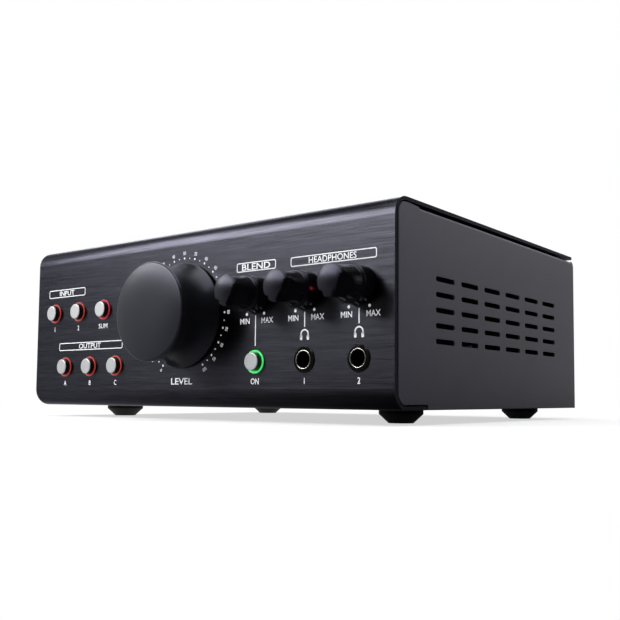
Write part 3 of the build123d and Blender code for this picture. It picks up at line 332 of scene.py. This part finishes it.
# The feet are soft rubber with a slight bloom.
rubber = moulded("black_rubber", "#050506", "#09090a", 0.50, 0.65, 0.6, 0.02,
                 Specular_IOR_Level=0.2)
# What stays inside: the ribbon's vinyl, the capacitors' sleeves and the relays' cases.
ribbon = moulded("grey_pvc_ribbon", "#8f9296", "#9a9da1", 0.35, 0.45, 1.0, 0.01)
sleeve = moulded("black_pvc_sleeve", "#15161a", "#1c1d22", 0.25, 0.35, 1.0, 0.01)
relay_box = moulded("orange_pbt", "#b1531d", "#bb5c24", 0.30, 0.42, 0.7, 0.01)

# %% [markdown]
# The button caps are black plastic with a silver lacquered face: flakes of aluminium in a clear
# coat. Under soft light that looks like pale satin metal with a very fine grain. The skirt that
# slides in the light ring is left black.

# %% Silver lacquer
silver, tree, shader = start_material("silver_lacquered_abs", Metallic=0.7, Coat_Weight=0.25,
                                      Coat_Roughness=0.3)
place = add(tree, "ShaderNodeTexCoord").outputs["Object"]
flakes = add(tree, "ShaderNodeTexVoronoi", {"Vector": place, "Scale": 7000.0}).outputs["Distance"]
tone = mix(tree, flakes, colour("#adaeae"), colour("#949596"))
dress(tree, shader, tone, ranged(tree, flakes, 0.36, 0.48))
print("caps:", silver.name)

# %% [markdown]
# Each button stands in a light guide of milky polycarbonate with a lamp behind it. The milk isn't
# quite even, so a soft noise varies the glow a little.

# %% Lit light guides
def lit(name, body, glow, strength):
    """Milky plastic that glows."""
    material, tree, shader = start_material(name, Roughness=0.35, Emission_Strength=strength)
    place = add(tree, "ShaderNodeTexCoord").outputs["Object"]
    tone = mix(tree, noise(tree, place, 700.0, 2.0), colour(body), colour(glow))
    tree.links.new(tone, shader.inputs["Base Color"])
    tree.links.new(tone, shader.inputs["Emission Color"])
    print("lit:", name, "strength", strength)
    return material


coral = lit("coral_light_guide", "#7a2320", "#a03a34", 0.36)
crimson = lit("crimson_light_guide", "#841628", "#a8283a", 0.45)
green = lit("green_light_guide", "#189a44", "#50dc74", 0.80)
ruby = lit("ruby_lamp_lens", "#c82830", "#ff6468", 8.0)

# %% [markdown]
# Plated and plain metals. Nickel on the ferrules and shells is bright with fine polishing marks,
# and the screws are steel blacked in hot oil. A metal keeps the default IOR, because its colour
# is in the base colour.

# %% Metals
def metal(name, dark, light, low, high, mark_mm):
    """A metal with fine marks that vary its colour and roughness."""
    material, tree, shader = start_material(name, Metallic=1.0)
    place = add(tree, "ShaderNodeTexCoord").outputs["Object"]
    marks = noise(tree, place, 1000.0 / mark_mm, 4.0)
    tone = mix(tree, marks, colour(dark), colour(light))
    dress(tree, shader, tone, ranged(tree, marks, low, high))
    print("metal:", name)
    return material


nickel = metal("nickel_plated_brass", "#b4b2ac", "#c8c6c0", 0.16, 0.28, 0.8)
steel = metal("zinc_plated_steel", "#9a9ca0", "#b0b2b6", 0.28, 0.42, 1.2)
black_steel = metal("oil_blacked_steel", "#2c2c2e", "#38383b", 0.34, 0.48, 0.8)

# %% [markdown]
# The two boards are glass fibre under a dark green solder mask, with copper tracks that show as
# slightly paler lines. The white print on the panel is screen ink: opaque and half matt.

# %% Board and ink
board, tree, shader = start_material("green_solder_mask", Coat_Weight=0.3, Coat_Roughness=0.2)
place = add(tree, "ShaderNodeTexCoord").outputs["Object"]
pattern = {"Vector": place, "Scale": 220.0, "Color1": colour("#16241c"),
           "Color2": colour("#1b2b22"), "Mortar": colour("#223428"), "Mortar Size": 0.04}
tracks = add(tree, "ShaderNodeTexBrick", pattern).outputs
dress(tree, shader, tracks["Color"], ranged(tree, tracks["Fac"], 0.35, 0.5))
ink, tree, shader = start_material("white_screen_ink", Roughness=0.55)
place = add(tree, "ShaderNodeTexCoord").outputs["Object"]
tone = mix(tree, noise(tree, place, 2500.0, 2.0), colour("#c4c4c8"), colour("#dededf"))
tree.links.new(tone, shader.inputs["Base Color"])
print("boards:", board.name, "print:", ink.name)

# %% [markdown]
# Each solid takes the finish of the real piece. A table from finish to node names is easier to
# check than an assignment per node.

# %% Finishes of the solids
BUTTON_NAMES = ("source_1", "source_2", "mono", "output_a", "output_b", "output_c", "crossfeed")
SMALL_KNOBS = ("crossfeed", "phones_1", "phones_2")
finishes = {
    anodised: ["front_top_cover"],
    powder: ["left_side_panel", "right_side_panel", "base_plate", "rear_panel"],
    soft_touch: ["volume_knob"],
    polished: [f"{name}_knob" for name in SMALL_KNOBS],
    silver: [f"{name}_button" for name in BUTTON_NAMES],
    coral: [f"{name}_light_ring" for name in BUTTON_NAMES if name not in ("mono", "crossfeed")],
    crimson: ["mono_light_ring"],
    green: ["crossfeed_light_ring"],
    ruby: ["power_lamp"],
    nylon: ["button_switches", "phones_jack_1", "phones_jack_2", "phones_jack_nuts",
            "source_1_jacks", "output_a_jacks", "output_b_jacks", "rear_jack_nuts",
            "phono_blocks", "dc_inlet", "power_switch", "power_rocker", "board_headers"],
    rubber: ["feet"],
    nickel: ["phones_jack_rings", "phono_shells", "usb_socket"],
    steel: ["board_screws", "board_spacers", "pot_nuts", "volume_pot", "volume_shaft"]
           + [f"{name}_{kind}" for name in SMALL_KNOBS for kind in ("pot", "shaft")],
    black_steel: ["case_screws", "foot_screws"],
    board: ["front_board", "main_board"],
    ribbon: ["ribbon_cable"],
    sleeve: ["capacitors"],
    relay_box: ["relays"],
}
finish_of = {name: material for material, names in finishes.items() for name in names}
for name, material in finish_of.items():
    mesh = cad[name].data
    mesh.materials.clear()
    mesh.materials.append(material)
print("solids without a finish:", sorted(set(cad) - set(finish_of)))

# %% [markdown]
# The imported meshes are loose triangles, so a bend or a knob would show flat facets in its
# reflections. What shows from outside gets a skin: the same shape with its corners welded and
# its curves shaded smooth, while edges sharper than 28 degrees stay crisp. The flat triangles are
# joined first, and the normals are weighted by area, so that a flat face stays flat right up to
# the small radius at its edge. The skin of a button takes the silver lacquer only where it faces
# the user.

# %% Smooth skins
SHARP = radians(28)
CAP_FACE = -0.3
WELD = 1e-6
FLAT = radians(0.4)
AREA_WEIGHT = 100


def skin_of(name, body):
    """A welded, smooth-shaded copy of a solid, which stands for it."""
    mesh = bpy.data.meshes.new_from_object(cad[name])
    bm = bmesh.new()
    bm.from_mesh(mesh)
    bmesh.ops.remove_doubles(bm, verts=bm.verts[:], dist=WELD)
    bmesh.ops.recalc_face_normals(bm, faces=bm.faces[:])
    bmesh.ops.dissolve_limit(bm, verts=bm.verts[:], edges=bm.edges[:], angle_limit=FLAT)
    for face in bm.faces:
        face.smooth = True
    bm.to_mesh(mesh)
    bm.free()
    mesh.set_sharp_from_angle(angle=SHARP)
    piece = bpy.data.objects.new(f"{name}_skin", mesh)
    bpy.context.scene.collection.objects.link(piece)
    weights = piece.modifiers.new("weights", "WEIGHTED_NORMAL")
    weights.weight = AREA_WEIGHT
    weights.keep_sharp = True
    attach(piece, body)
    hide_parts(name)
    return piece


fixed = ["front_top_cover", "left_side_panel", "right_side_panel", "phones_jack_1", "phones_jack_2",
         "phones_jack_nuts", "source_1_jacks", "output_a_jacks", "output_b_jacks", "rear_jack_nuts",
         "phono_blocks", "phono_shells", "dc_inlet", "power_lamp", "feet", "power_switch"]
fixed += [f"{name}_light_ring" for name in BUTTON_NAMES]
for name in fixed:
    skin_of(name, "case")
skin_of("power_rocker", "power_toggle")
knobs = ("volume",) + SMALL_KNOBS
for name in knobs:
    skin_of(f"{name}_knob", f"{name}_control")
for name in BUTTON_NAMES:
    cap = skin_of(f"{name}_button", f"{name}_push")
    cap.data.materials.append(nylon)
    for face in cap.data.polygons:
        face.material_index = 0 if face.normal.y < CAP_FACE else 1
print("skins:", len(fixed) + 1 + len(knobs) + len(BUTTON_NAMES))

# %% [markdown]
# The face of the big knob is crowned: nearly flat in the middle, and falling off faster towards
# the rim, where it catches the light from above. The skin's flat disc is taken out and the rim of
# the hole is drawn inwards ring by ring, each ring at its height on the crown.

# %% The crown of the big knob
CROWN_RINGS = 14
CROWN_POWER = 3.5
RIM_DROP = 0.45
EDGE_DEPTH = 1.6
FACES_FRONT = -0.99
AT_THE_EDGE = 0.99

knob_mesh = bpy.data.objects["volume_knob_skin"].data
knob_low, knob_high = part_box("volume_knob")
knob_axis = (knob_low + knob_high) / 2
bm = bmesh.new()
bm.from_mesh(knob_mesh)
front = min(vert.co.y for vert in bm.verts)


def from_axis(vert):
    """The distance of a vertex from the axis of the big knob."""
    return Vector((vert.co.x - knob_axis.x, vert.co.z - knob_axis.z)).length


disc = [face for face in bm.faces if face.normal.y < FACES_FRONT
        and all(vert.co.y < front + EDGE_DEPTH * MM for vert in face.verts)]
bmesh.ops.delete(bm, geom=disc, context="FACES")
hole = [edge for edge in bm.edges if edge.is_boundary]
hole_radius = max(from_axis(vert) for edge in hole for vert in edge.verts)
rim_y = max(vert.co.y for edge in hole for vert in edge.verts)
for vert in bm.verts:
    depth = (vert.co.y - rim_y) / (EDGE_DEPTH * MM)
    if from_axis(vert) > hole_radius * AT_THE_EDGE and depth < 1.0:
        vert.co.y += RIM_DROP * MM * (1.0 - max(depth, 0.0))
fall = rim_y + RIM_DROP * MM - front
for step in range(1, CROWN_RINGS):
    share = 1.0 - step / CROWN_RINGS
    drawn = bmesh.ops.extrude_edge_only(bm, edges=hole)["geom"]
    hole = [part for part in drawn if isinstance(part, bmesh.types.BMEdge) and part.is_boundary]
    for vert in {vert for edge in hole for vert in edge.verts}:
        outwards = Vector((vert.co.x - knob_axis.x, 0.0, vert.co.z - knob_axis.z)).normalized()
        place = knob_axis + outwards * hole_radius * share
        vert.co = Vector((place.x, front + fall * share ** CROWN_POWER, place.z))
bmesh.ops.edgeloop_fill(bm, edges=hole)
bmesh.ops.recalc_face_normals(bm, faces=bm.faces[:])
for face in bm.faces:
    face.smooth = True
bm.to_mesh(knob_mesh)
bm.free()
knob_mesh.set_sharp_from_angle(angle=SHARP)
print("crown: radius", round(hole_radius / MM, 1), "mm, fall", round(fall / MM, 2), "mm")
print("faces of the big knob:", len(knob_mesh.polygons))

# %% [markdown]
# The ferrule of a headphone jack is a thin bright bead rolled over the collar, so it is turned
# from a small half-round section. Behind it, a thin ring and the inside of the socket's bore take
# a near-black, dull finish, which is painted shade for the dark inside the socket. In its wall a
# leaf spring waits for the plug's tip.

# %% Jack ferrules and contacts
def turned(profile, x, y, z, steps=64):
    """Turns a profile, given in radius and height in front of the panel, about a jack's axis."""
    bm = bmesh.new()
    verts = [bm.verts.new((r * MM, -h * MM, 0.0)) for r, h in profile]
    edges = [bm.edges.new(pair) for pair in zip(verts, verts[1:])]
    bmesh.ops.spin(bm, geom=verts + edges, cent=(0, 0, 0), axis=(0, 1, 0), angle=2 * pi,
                   steps=steps, use_merge=True)
    bmesh.ops.remove_doubles(bm, verts=bm.verts[:], dist=WELD)
    bmesh.ops.recalc_face_normals(bm, faces=bm.faces[:])
    for face in bm.faces:
        face.smooth = True
    bmesh.ops.translate(bm, verts=bm.verts[:], vec=(x, y, z))
    return bm


def finished(bm, name, material, body):
    """Makes a piece from a bmesh, with its material and the body that it rides on."""
    mesh = bpy.data.meshes.new(name)
    bm.to_mesh(mesh)
    bm.free()
    mesh.materials.append(material)
    piece = bpy.data.objects.new(name, mesh)
    bpy.context.scene.collection.objects.link(piece)
    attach(piece, body)
    return piece


BORE_R = 3.5
BEAD_MIDDLE = 3.86
BEAD_HALF = 0.2
BEAD_HEIGHT = 0.25
BEAD_STEPS = 10
LEAF_SPLITS = 12
LEAF_X = -3.2
LEAF_RISE = 0.9
LEAF_START = 4.0
LEAF_LENGTH = 7.0
LEAF_WIDTH = 2.2
LEAF_SHEET = 0.2

rings_low, rings_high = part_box("phones_jack_rings")
ring_r = (rings_high.z - rings_low.z) / 2
collar_front = rings_high.y
JACK_Z = (rings_low.z + rings_high.z) / 2
JACK_X = (rings_low.x + ring_r, rings_high.x - ring_r)
arc = [pi * i / BEAD_STEPS for i in range(BEAD_STEPS + 1)]
bead = [(BEAD_MIDDLE + BEAD_HALF * cos(a), BEAD_HEIGHT * sin(a)) for a in arc]
# Painted shade: a near-black, dull finish that stands for the dark inside a socket, where shade
# falls.
painted_bore_shade, tree, shader = start_material("painted_shade_in_the_socket", Roughness=0.8,
                                      Specular_IOR_Level=0.05)
shader.inputs["Base Color"].default_value = colour("#030303")
# A thin ring in that finish in front of the collar paints the shade at the socket's mouth.
painted_shade_ring = [(3.2, 0.03), (3.3, 0.06), (BEAD_MIDDLE - BEAD_HALF, 0.06)]
for number, x in enumerate(JACK_X, start=1):
    finished(turned(painted_shade_ring, x, collar_front, JACK_Z), f"phones_jack_{number}_liner", painted_bore_shade, "case")
    # The faces inside the bore of each jack and of its nut take the same painted shade.
    for name in (f"phones_jack_{number}_skin", "phones_jack_nuts_skin"):
        mesh = bpy.data.objects[name].data
        if painted_bore_shade.name not in mesh.materials:
            mesh.materials.append(painted_bore_shade)
        for face in mesh.polygons:
            if (face.center.x - x) ** 2 + (face.center.z - JACK_Z) ** 2 < (BORE_R * MM) ** 2:
                face.material_index = 1
    rolled = turned(bead, x, collar_front, JACK_Z)
    ferrule = finished(rolled, f"phones_jack_{number}_ferrule", nickel, "case")
    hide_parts("phones_jack_rings")
    leaf = bmesh.new()
    bmesh.ops.create_grid(leaf, x_segments=LEAF_SPLITS, y_segments=1, size=0.5)
    for vert in leaf.verts:
        run = vert.co.x + 0.5
        rise = LEAF_RISE * sin(pi * run) ** 2
        back = LEAF_START + LEAF_LENGTH * run
        vert.co = Vector((LEAF_X + rise, back, LEAF_WIDTH * vert.co.y)) * MM
    bmesh.ops.translate(leaf, verts=leaf.verts[:], vec=(x, FACE_Y, JACK_Z))
    bmesh.ops.solidify(leaf, geom=leaf.faces[:], thickness=LEAF_SHEET * MM)
    bmesh.ops.recalc_face_normals(leaf, faces=leaf.faces[:])
    finished(leaf, f"phones_jack_{number}_contact", nickel, "case")
print("jacks at x in mm:", [round(x / MM, 1) for x in JACK_X], "bead radius", BEAD_MIDDLE, "mm")

# %% [markdown]
# The screws get a hexagon socket. Each solid screw is found again as a separate island of its
# node's mesh: a screw is round, so the side of its box that differs from the other two is the
# axis, and the end where it is widest is the head. Rings of 24 points make the new one, and the
# ring of the socket is pushed onto a hexagon.

# %% Screws with a hexagon socket
RING = 24
SOCKET_SHARE = 0.46
SOCKET_DEPTH_SHARE = 0.6
LEAST_HEAD_SHARE = 0.25
HEAD_FROM_SHARE = 0.9
SHANK_FROM_SHARE = 0.2
EDGE_SHARE = 0.12
EDGE_STEP = 0.3
TIP_SHARE = 0.8
TIP_TALL = 0.3


def islands(mesh):
    """The separate parts of a mesh, each as a list of points."""
    bm = bmesh.new()
    bm.from_mesh(mesh)
    bmesh.ops.remove_doubles(bm, verts=bm.verts[:], dist=WELD)
    left_over = set(bm.verts)
    parts = []
    while left_over:
        queue = [left_over.pop()]
        part = []
        while queue:
            vert = queue.pop()
            part.append(vert.co.copy())
            for edge in vert.link_edges:
                other = edge.other_vert(vert)
                if other in left_over:
                    left_over.remove(other)
                    queue.append(other)
        parts.append(part)
    bm.free()
    return parts


def ring_of(bm, radius, height, hexagon=False):
    """A ring of vertices at a height, round or pushed onto a hexagon."""
    verts = []
    for i in range(RING):
        angle = 2 * pi * i / RING
        to_flat = (angle + pi / 6) % (pi / 3) - pi / 6
        r = radius * cos(pi / 6) / cos(to_flat) if hexagon else radius
        verts.append(bm.verts.new((r * cos(angle), r * sin(angle), height)))
    return verts


def screw(points):
    """A screw with a socket head that fills the same place as the solid one."""
    low = Vector([min(p[i] for p in points) for i in range(3)])
    high = Vector([max(p[i] for p in points) for i in range(3)])
    size = high - low
    axis = min(range(3), key=lambda i: abs(size[(i + 1) % 3] - size[(i + 2) % 3]))
    middle = (low + high) / 2
    radial = []
    for point in points:
        across = point - middle
        across[axis] = 0.0
        radial.append(across.length)
    widest = max(radial)
    heads = [p[axis] for p, r in zip(points, radial) if r > HEAD_FROM_SHARE * widest]
    shank = min(r for r in radial if r > SHANK_FROM_SHARE * widest)
    up = 1.0 if sum(heads) / len(heads) > middle[axis] else -1.0
    top = high[axis] if up > 0 else low[axis]
    tip = low[axis] if up > 0 else high[axis]
    tall = max(abs(top - h) for h in heads)
    long = abs(top - tip)
    socket = SOCKET_SHARE * widest
    floor_of_socket = -SOCKET_DEPTH_SHARE * max(tall, LEAST_HEAD_SHARE * widest)
    edge = EDGE_SHARE * widest
    step = EDGE_STEP * edge
    bm = bmesh.new()
    outline = [(shank * TIP_SHARE, -long), (shank, -long + TIP_TALL * shank), (shank, -tall),
               (widest, -tall), (widest, -edge), (widest - step, -step), (widest - edge, 0.0)]
    rings = [ring_of(bm, radius, height) for radius, height in outline]
    rings += [ring_of(bm, socket, height, True) for height in (0.0, floor_of_socket)]
    for a, b in zip(rings, rings[1:]):
        for i in range(RING):
            j = (i + 1) % RING
            bm.faces.new((a[i], a[j], b[j], b[i]))
    bm.faces.new(rings[0])
    bm.faces.new(rings[-1])
    bmesh.ops.recalc_face_normals(bm, faces=bm.faces[:])
    outward = Vector([up if i == axis else 0.0 for i in range(3)])
    place = Vector([top if i == axis else middle[i] for i in range(3)])
    bm.transform(Matrix.Translation(place) @ outward.to_track_quat("Z", "Y").to_matrix().to_4x4())
    mesh = bpy.data.meshes.new("screw")
    bm.to_mesh(mesh)
    bm.free()
    return mesh


def screws(node, material):
    """Every screw of a node, as one piece."""
    all_of_them = bmesh.new()
    parts = islands(cad[node].data)
    for points in parts:
        mesh = screw(points)
        all_of_them.from_mesh(mesh)
        bpy.data.meshes.remove(mesh)
    piece = finished(all_of_them, f"{node}_socket_heads", material, "case")
    for face in piece.data.polygons:
        face.use_smooth = True
    piece.data.set_sharp_from_angle(angle=SHARP)
    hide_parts(node)
    print(node, "screws:", len(parts))


for node in ("case_screws", "foot_screws", "board_screws"):
    screws(node, finish_of[node])

# %% [markdown]
# The printing is drawn on the panel's face. Each mark is a flat mesh in panel coordinates, X to
# the right of the middle and Z above the underside of the case, and one helper stands it up on
# the face. The same helper, turned round, prints the rear panel.

# %% Where the printing goes
PRINT_LIFT = 0.03 * MM
rear_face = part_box("rear_panel")[1].y
FRONT = (FACE_Y - PRINT_LIFT, 0.0)
REAR = (rear_face + PRINT_LIFT, pi)
printing = bmesh.new()


def stand_up(flat, x, z, turn=0.0, side=FRONT):
    """Moves a flat mesh from the XY plane to a place on a panel, and adds it to the printing."""
    y, about = side
    face = Matrix.Translation((x * MM, y, UNDERSIDE + z * MM)) @ Matrix.Rotation(about, 4, "Z")
    upright = Matrix.Rotation(radians(90), 4, "X") @ Matrix.Rotation(turn, 4, "Z")
    flat.transform(face @ upright @ Matrix.Scale(MM, 4))
    mesh = bpy.data.meshes.new("mark")
    flat.to_mesh(mesh)
    flat.free()
    printing.from_mesh(mesh)
    bpy.data.meshes.remove(mesh)


print("panel face at y =", round(FACE_Y / MM, 2), "mm")
print("underside at z =", round(UNDERSIDE / MM, 2), "mm")

# %% [markdown]
# Words are text curves turned into meshes, then scaled to the height and width that the mark has
# on a real panel. The outline is swollen a little, because screen printing thickens a letter.
# Every word is a plain one that any such unit could carry.

# %% Words
SWELL = 0.012
THIN_SWELL = 0.006
USUAL_WIDTH = 0.82
CURVE_STEPS = 3
CAPTION_HEIGHT = 2.6


def words(text, x, z, height, width=None, turn=0.0, weight=SWELL, side=FRONT):
    """Prints a word with its middle at x, z and with the height of its capitals in millimetres."""
    curve = bpy.data.curves.new("words", "FONT")
    curve.body = text
    curve.resolution_u = CURVE_STEPS
    curve.offset = weight
    holder = bpy.data.objects.new("words", curve)
    mesh = bpy.data.meshes.new_from_object(holder)
    bpy.data.objects.remove(holder)
    bpy.data.curves.remove(curve)
    flat = bmesh.new()
    flat.from_mesh(mesh)
    bpy.data.meshes.remove(mesh)
    low = Vector([min(v.co[i] for v in flat.verts) for i in range(3)])
    high = Vector([max(v.co[i] for v in flat.verts) for i in range(3)])
    tall = height / (high.y - low.y)
    across = width / (high.x - low.x) if width else USUAL_WIDTH * tall
    bmesh.ops.translate(flat, verts=flat.verts, vec=-(low + high) / 2)
    bmesh.ops.scale(flat, verts=flat.verts, vec=(across, tall, 1.0))
    stand_up(flat, x, z, turn, side)


for text, x, z in (("1", -103.8, 41.4), ("2", -82.6, 41.4), ("A", -93.0, 11.9), ("B", -71.5, 11.9),
                   ("C", -50.4, 11.9), ("1", 74.7, 11.9), ("2", 103.0, 11.9)):
    words(text, x, z, CAPTION_HEIGHT)
words("SUM", -61.5, 41.5, 2.5, 7.2, weight=THIN_SWELL)
words("ON", 46.4, 11.9, 2.7, 4.8)
words("LEVEL", -0.8, 12.2, 3.1, 14.6)
words("INPUT", -93.6, 61.0, 2.7, 13.2, weight=THIN_SWELL)
words("OUTPUT", -72.3, 31.5, 2.7, 18.6, weight=THIN_SWELL)
words("BLEND", 46.2, 63.3, 2.9, 17.0)
words("HEADPHONES", 89.0, 63.1, 2.7, 25.0, weight=THIN_SWELL)
print("faces after the words:", len(printing.faces))

# %% [markdown]
# The headings stand in thin frames with round corners. A one-face grid is scaled to size, its
# corners are bevelled, and an inset leaves a narrow ring once the middle is deleted. A thin line
# runs down from each small knob.

# %% Frames and lines
CORNER_STEPS = 5
STEM_HALF = 0.26


def patch(x0, x1, z0, z1, corner=0.0):
    """A flat rectangle centred on the origin, with round corners, as a new bmesh."""
    flat = bmesh.new()
    bmesh.ops.create_grid(flat, x_segments=1, y_segments=1, size=0.5)
    bmesh.ops.scale(flat, verts=flat.verts, vec=(x1 - x0, z1 - z0, 1.0))
    if corner:
        bmesh.ops.bevel(flat, geom=flat.verts[:], offset=corner, affect="VERTICES",
                        segments=CORNER_STEPS, profile=0.5, material=-1)
    return flat


def frame_line(x0, x1, z0, z1, line=0.42, corner=1.0, side=FRONT):
    """A thin frame with round corners, given by its edges on the panel."""
    flat = patch(x0, x1, z0, z1, corner)
    bmesh.ops.inset_individual(flat, faces=flat.faces[:], thickness=line, use_even_offset=True)
    middle = min(flat.faces, key=lambda f: f.calc_center_median().length - f.calc_area())
    bmesh.ops.delete(flat, geom=[middle], context="FACES")
    stand_up(flat, (x0 + x1) / 2, (z0 + z1) / 2, side=side)


for edges in ((-109.85, -77.4, 58.8, 63.2), (-99.2, -45.3, 29.35, 33.6),
              (34.45, 58.0, 61.2, 65.45), (66.5, 111.5, 61.0, 65.2)):
    frame_line(*edges)
for x, z0, z1 in ((46.4, 27.6, 41.2), (74.6, 34.8, 41.1), (102.9, 34.9, 41.15)):
    stand_up(patch(x - STEM_HALF, x + STEM_HALF, z0, z1), x, (z0 + z1) / 2)
print("faces after the frames:", len(printing.faces))

# %% [markdown]
# Dots mark every 7.5 degrees round the big knob, larger every 15, where a number stands outside
# the dot. The scale runs from 0 at the lower left to 100 at the lower right.

# %% Dots and numbers
VOLUME_PLACE = (-0.4, 43.7)
DOT_CIRCLE = 27.5
SWEEP = 150.0
DOT_STEP = 7.5
LAST_DOT = round(2 * SWEEP / DOT_STEP)
FULL_SCALE = 100
BIG_DOT_R = 0.52
SMALL_DOT_R = 0.34
DOT_SEGMENTS = 20
NUMBER_CIRCLE = DOT_CIRCLE + 2.5
NUMBER_HEIGHT = 1.7
END_DOT_R = 0.64
END_DOT_Z = 41.88
END_WORD_Z = 38.8
END_WORD_HEIGHT = 2.5
KNOB_DIALS = (46.3, 74.6, 102.9)


def dot(x, z, radius):
    """A round dot on the panel."""
    flat = bmesh.new()
    bmesh.ops.create_circle(flat, cap_ends=True, radius=radius, segments=DOT_SEGMENTS)
    stand_up(flat, x, z)


for step in range(LAST_DOT + 1):
    angle = radians(-SWEEP + DOT_STEP * step)
    big = step % 2 == 0
    x = VOLUME_PLACE[0] + DOT_CIRCLE * sin(angle)
    z = VOLUME_PLACE[1] + DOT_CIRCLE * cos(angle)
    dot(x, z, BIG_DOT_R if big else SMALL_DOT_R)
    if big:
        x = VOLUME_PLACE[0] + NUMBER_CIRCLE * sin(angle)
        z = VOLUME_PLACE[1] + NUMBER_CIRCLE * cos(angle)
        words(str(FULL_SCALE * step // LAST_DOT), x, z, NUMBER_HEIGHT, turn=-angle)
for x in KNOB_DIALS:
    for shift, word_shift, text, width in ((-5.16, -6.3, "MIN", 5.7), (5.16, 7.05, "MAX", 6.9)):
        dot(x + shift, END_DOT_Z, END_DOT_R)
        words(text, x + word_shift, END_WORD_Z, END_WORD_HEIGHT, width)
print("faces after the dots:", len(printing.faces))

# %% [markdown]
# The headphone symbol is half a ring for the band, and at each end of it a short bar and a rounded
# cup.

# %% Headphone symbols
BAND_R = (1.65, 2.3)
BAND_STEPS = 16
BAND_RISE = 0.2
BAR_HALF = (0.32, 0.7)
BAR_PLACE = (1.98, -0.3)
CUP_HALF = (0.62, 0.95)
CUP_PLACE = (1.85, -1.2)
CUP_CORNER = 0.4
SYMBOL_Z = 31.4


def headphones(x, z):
    """The symbol of a headband with two cups."""
    flat = bmesh.new()
    inner = flat.verts.new((BAND_R[0], 0.0, 0.0))
    outer = flat.verts.new((BAND_R[1], 0.0, 0.0))
    start = flat.edges.new((inner, outer))
    bmesh.ops.spin(flat, geom=[inner, outer, start], cent=(0, 0, 0), axis=(0, 0, 1), angle=pi,
                   steps=BAND_STEPS)
    stand_up(flat, x, z + BAND_RISE)
    for side in (-1, 1):
        bar = patch(-BAR_HALF[0], BAR_HALF[0], -BAR_HALF[1], BAR_HALF[1])
        stand_up(bar, x + side * BAR_PLACE[0], z + BAR_PLACE[1])
        cup = patch(-CUP_HALF[0], CUP_HALF[0], -CUP_HALF[1], CUP_HALF[1], CUP_CORNER)
        stand_up(cup, x + side * CUP_PLACE[0], z + CUP_PLACE[1])


for x in KNOB_DIALS[1:]:
    headphones(x, SYMBOL_Z)
print("faces after the symbols:", len(printing.faces))

# %% [markdown]
# The rear panel isn't in the usual view, but it is printed in the same plain way: a word over
# each group of sockets, L and R over the two sockets of a pair, and 0 and 1 at the switch.

# %% Rear printing
def centre(node):
    """The middle of a node's box in panel millimetres, X and then Z above the case's underside."""
    low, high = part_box(node)
    return (low.x + high.x) / 2 / MM, ((low.z + high.z) / 2 - UNDERSIDE) / MM


def half_width(node):
    """Half of the width of a node's box in millimetres."""
    low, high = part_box(node)
    return (high.x - low.x) / 2 / MM


LABEL_Z = 34.0
LABEL_FRAME_HALF = 2.6
LABEL_FRAME_LINE = 0.4
PAIR_SHIFT = 11.0
PAIR_LETTER_RISE = 11.6
PAIR_LETTER_HEIGHT = 2.2
PHONO_LABEL_RISE = 17.5
SWITCH_LABEL_RISE = 14.6
SWITCH_MARK_SHIFT = -10.2
SWITCH_MARK_RISE = 5.5
INLET_LABEL_RISE = 10.4
SMALL_LABEL_HEIGHT = 2.4

for node, text, pair in (("source_1_jacks", "INPUT 1", True), ("output_a_jacks", "OUTPUT A", True),
                         ("output_b_jacks", "OUTPUT B", True), ("usb_socket", "DATA", False)):
    x, z = centre(node)
    words(text, x, LABEL_Z, CAPTION_HEIGHT, side=REAR)
    if pair:
        reach = half_width(node)
        frame_line(x - reach, x + reach, LABEL_Z - LABEL_FRAME_HALF, LABEL_Z + LABEL_FRAME_HALF,
                   line=LABEL_FRAME_LINE, side=REAR)
        for shift, letter in ((-PAIR_SHIFT, "R"), (PAIR_SHIFT, "L")):
            words(letter, x + shift, z + PAIR_LETTER_RISE, PAIR_LETTER_HEIGHT, side=REAR)
phono_parts = islands(cad["phono_blocks"].data)
blocks = [sum(p.x for p in points) / len(points) / MM for points in phono_parts]
phono_z = centre("phono_blocks")[1]
for x, text in zip(sorted(blocks), ("OUTPUT C", "INPUT 2")):
    words(text, x, phono_z + PHONO_LABEL_RISE, CAPTION_HEIGHT, side=REAR)
switch_x, switch_z = centre("power_switch")
words("POWER", switch_x, switch_z + SWITCH_LABEL_RISE, CAPTION_HEIGHT, side=REAR)
for text, rise in (("1", SWITCH_MARK_RISE), ("0", -SWITCH_MARK_RISE)):
    words(text, switch_x + SWITCH_MARK_SHIFT, switch_z + rise, SMALL_LABEL_HEIGHT, side=REAR)
inlet_x, inlet_z = centre("dc_inlet")
words("9 V", inlet_x, inlet_z + INLET_LABEL_RISE, SMALL_LABEL_HEIGHT, side=REAR)
bmesh.ops.recalc_face_normals(printing, faces=printing.faces[:])
for face in printing.faces:
    outward = -1 if face.calc_center_median().y < 0 else 1
    if face.normal.y * outward < 0:
        face.normal_flip()
panel_printing = finished(printing, "panel_printing", ink, "case")
print("printing:", len(panel_printing.data.polygons), "faces")
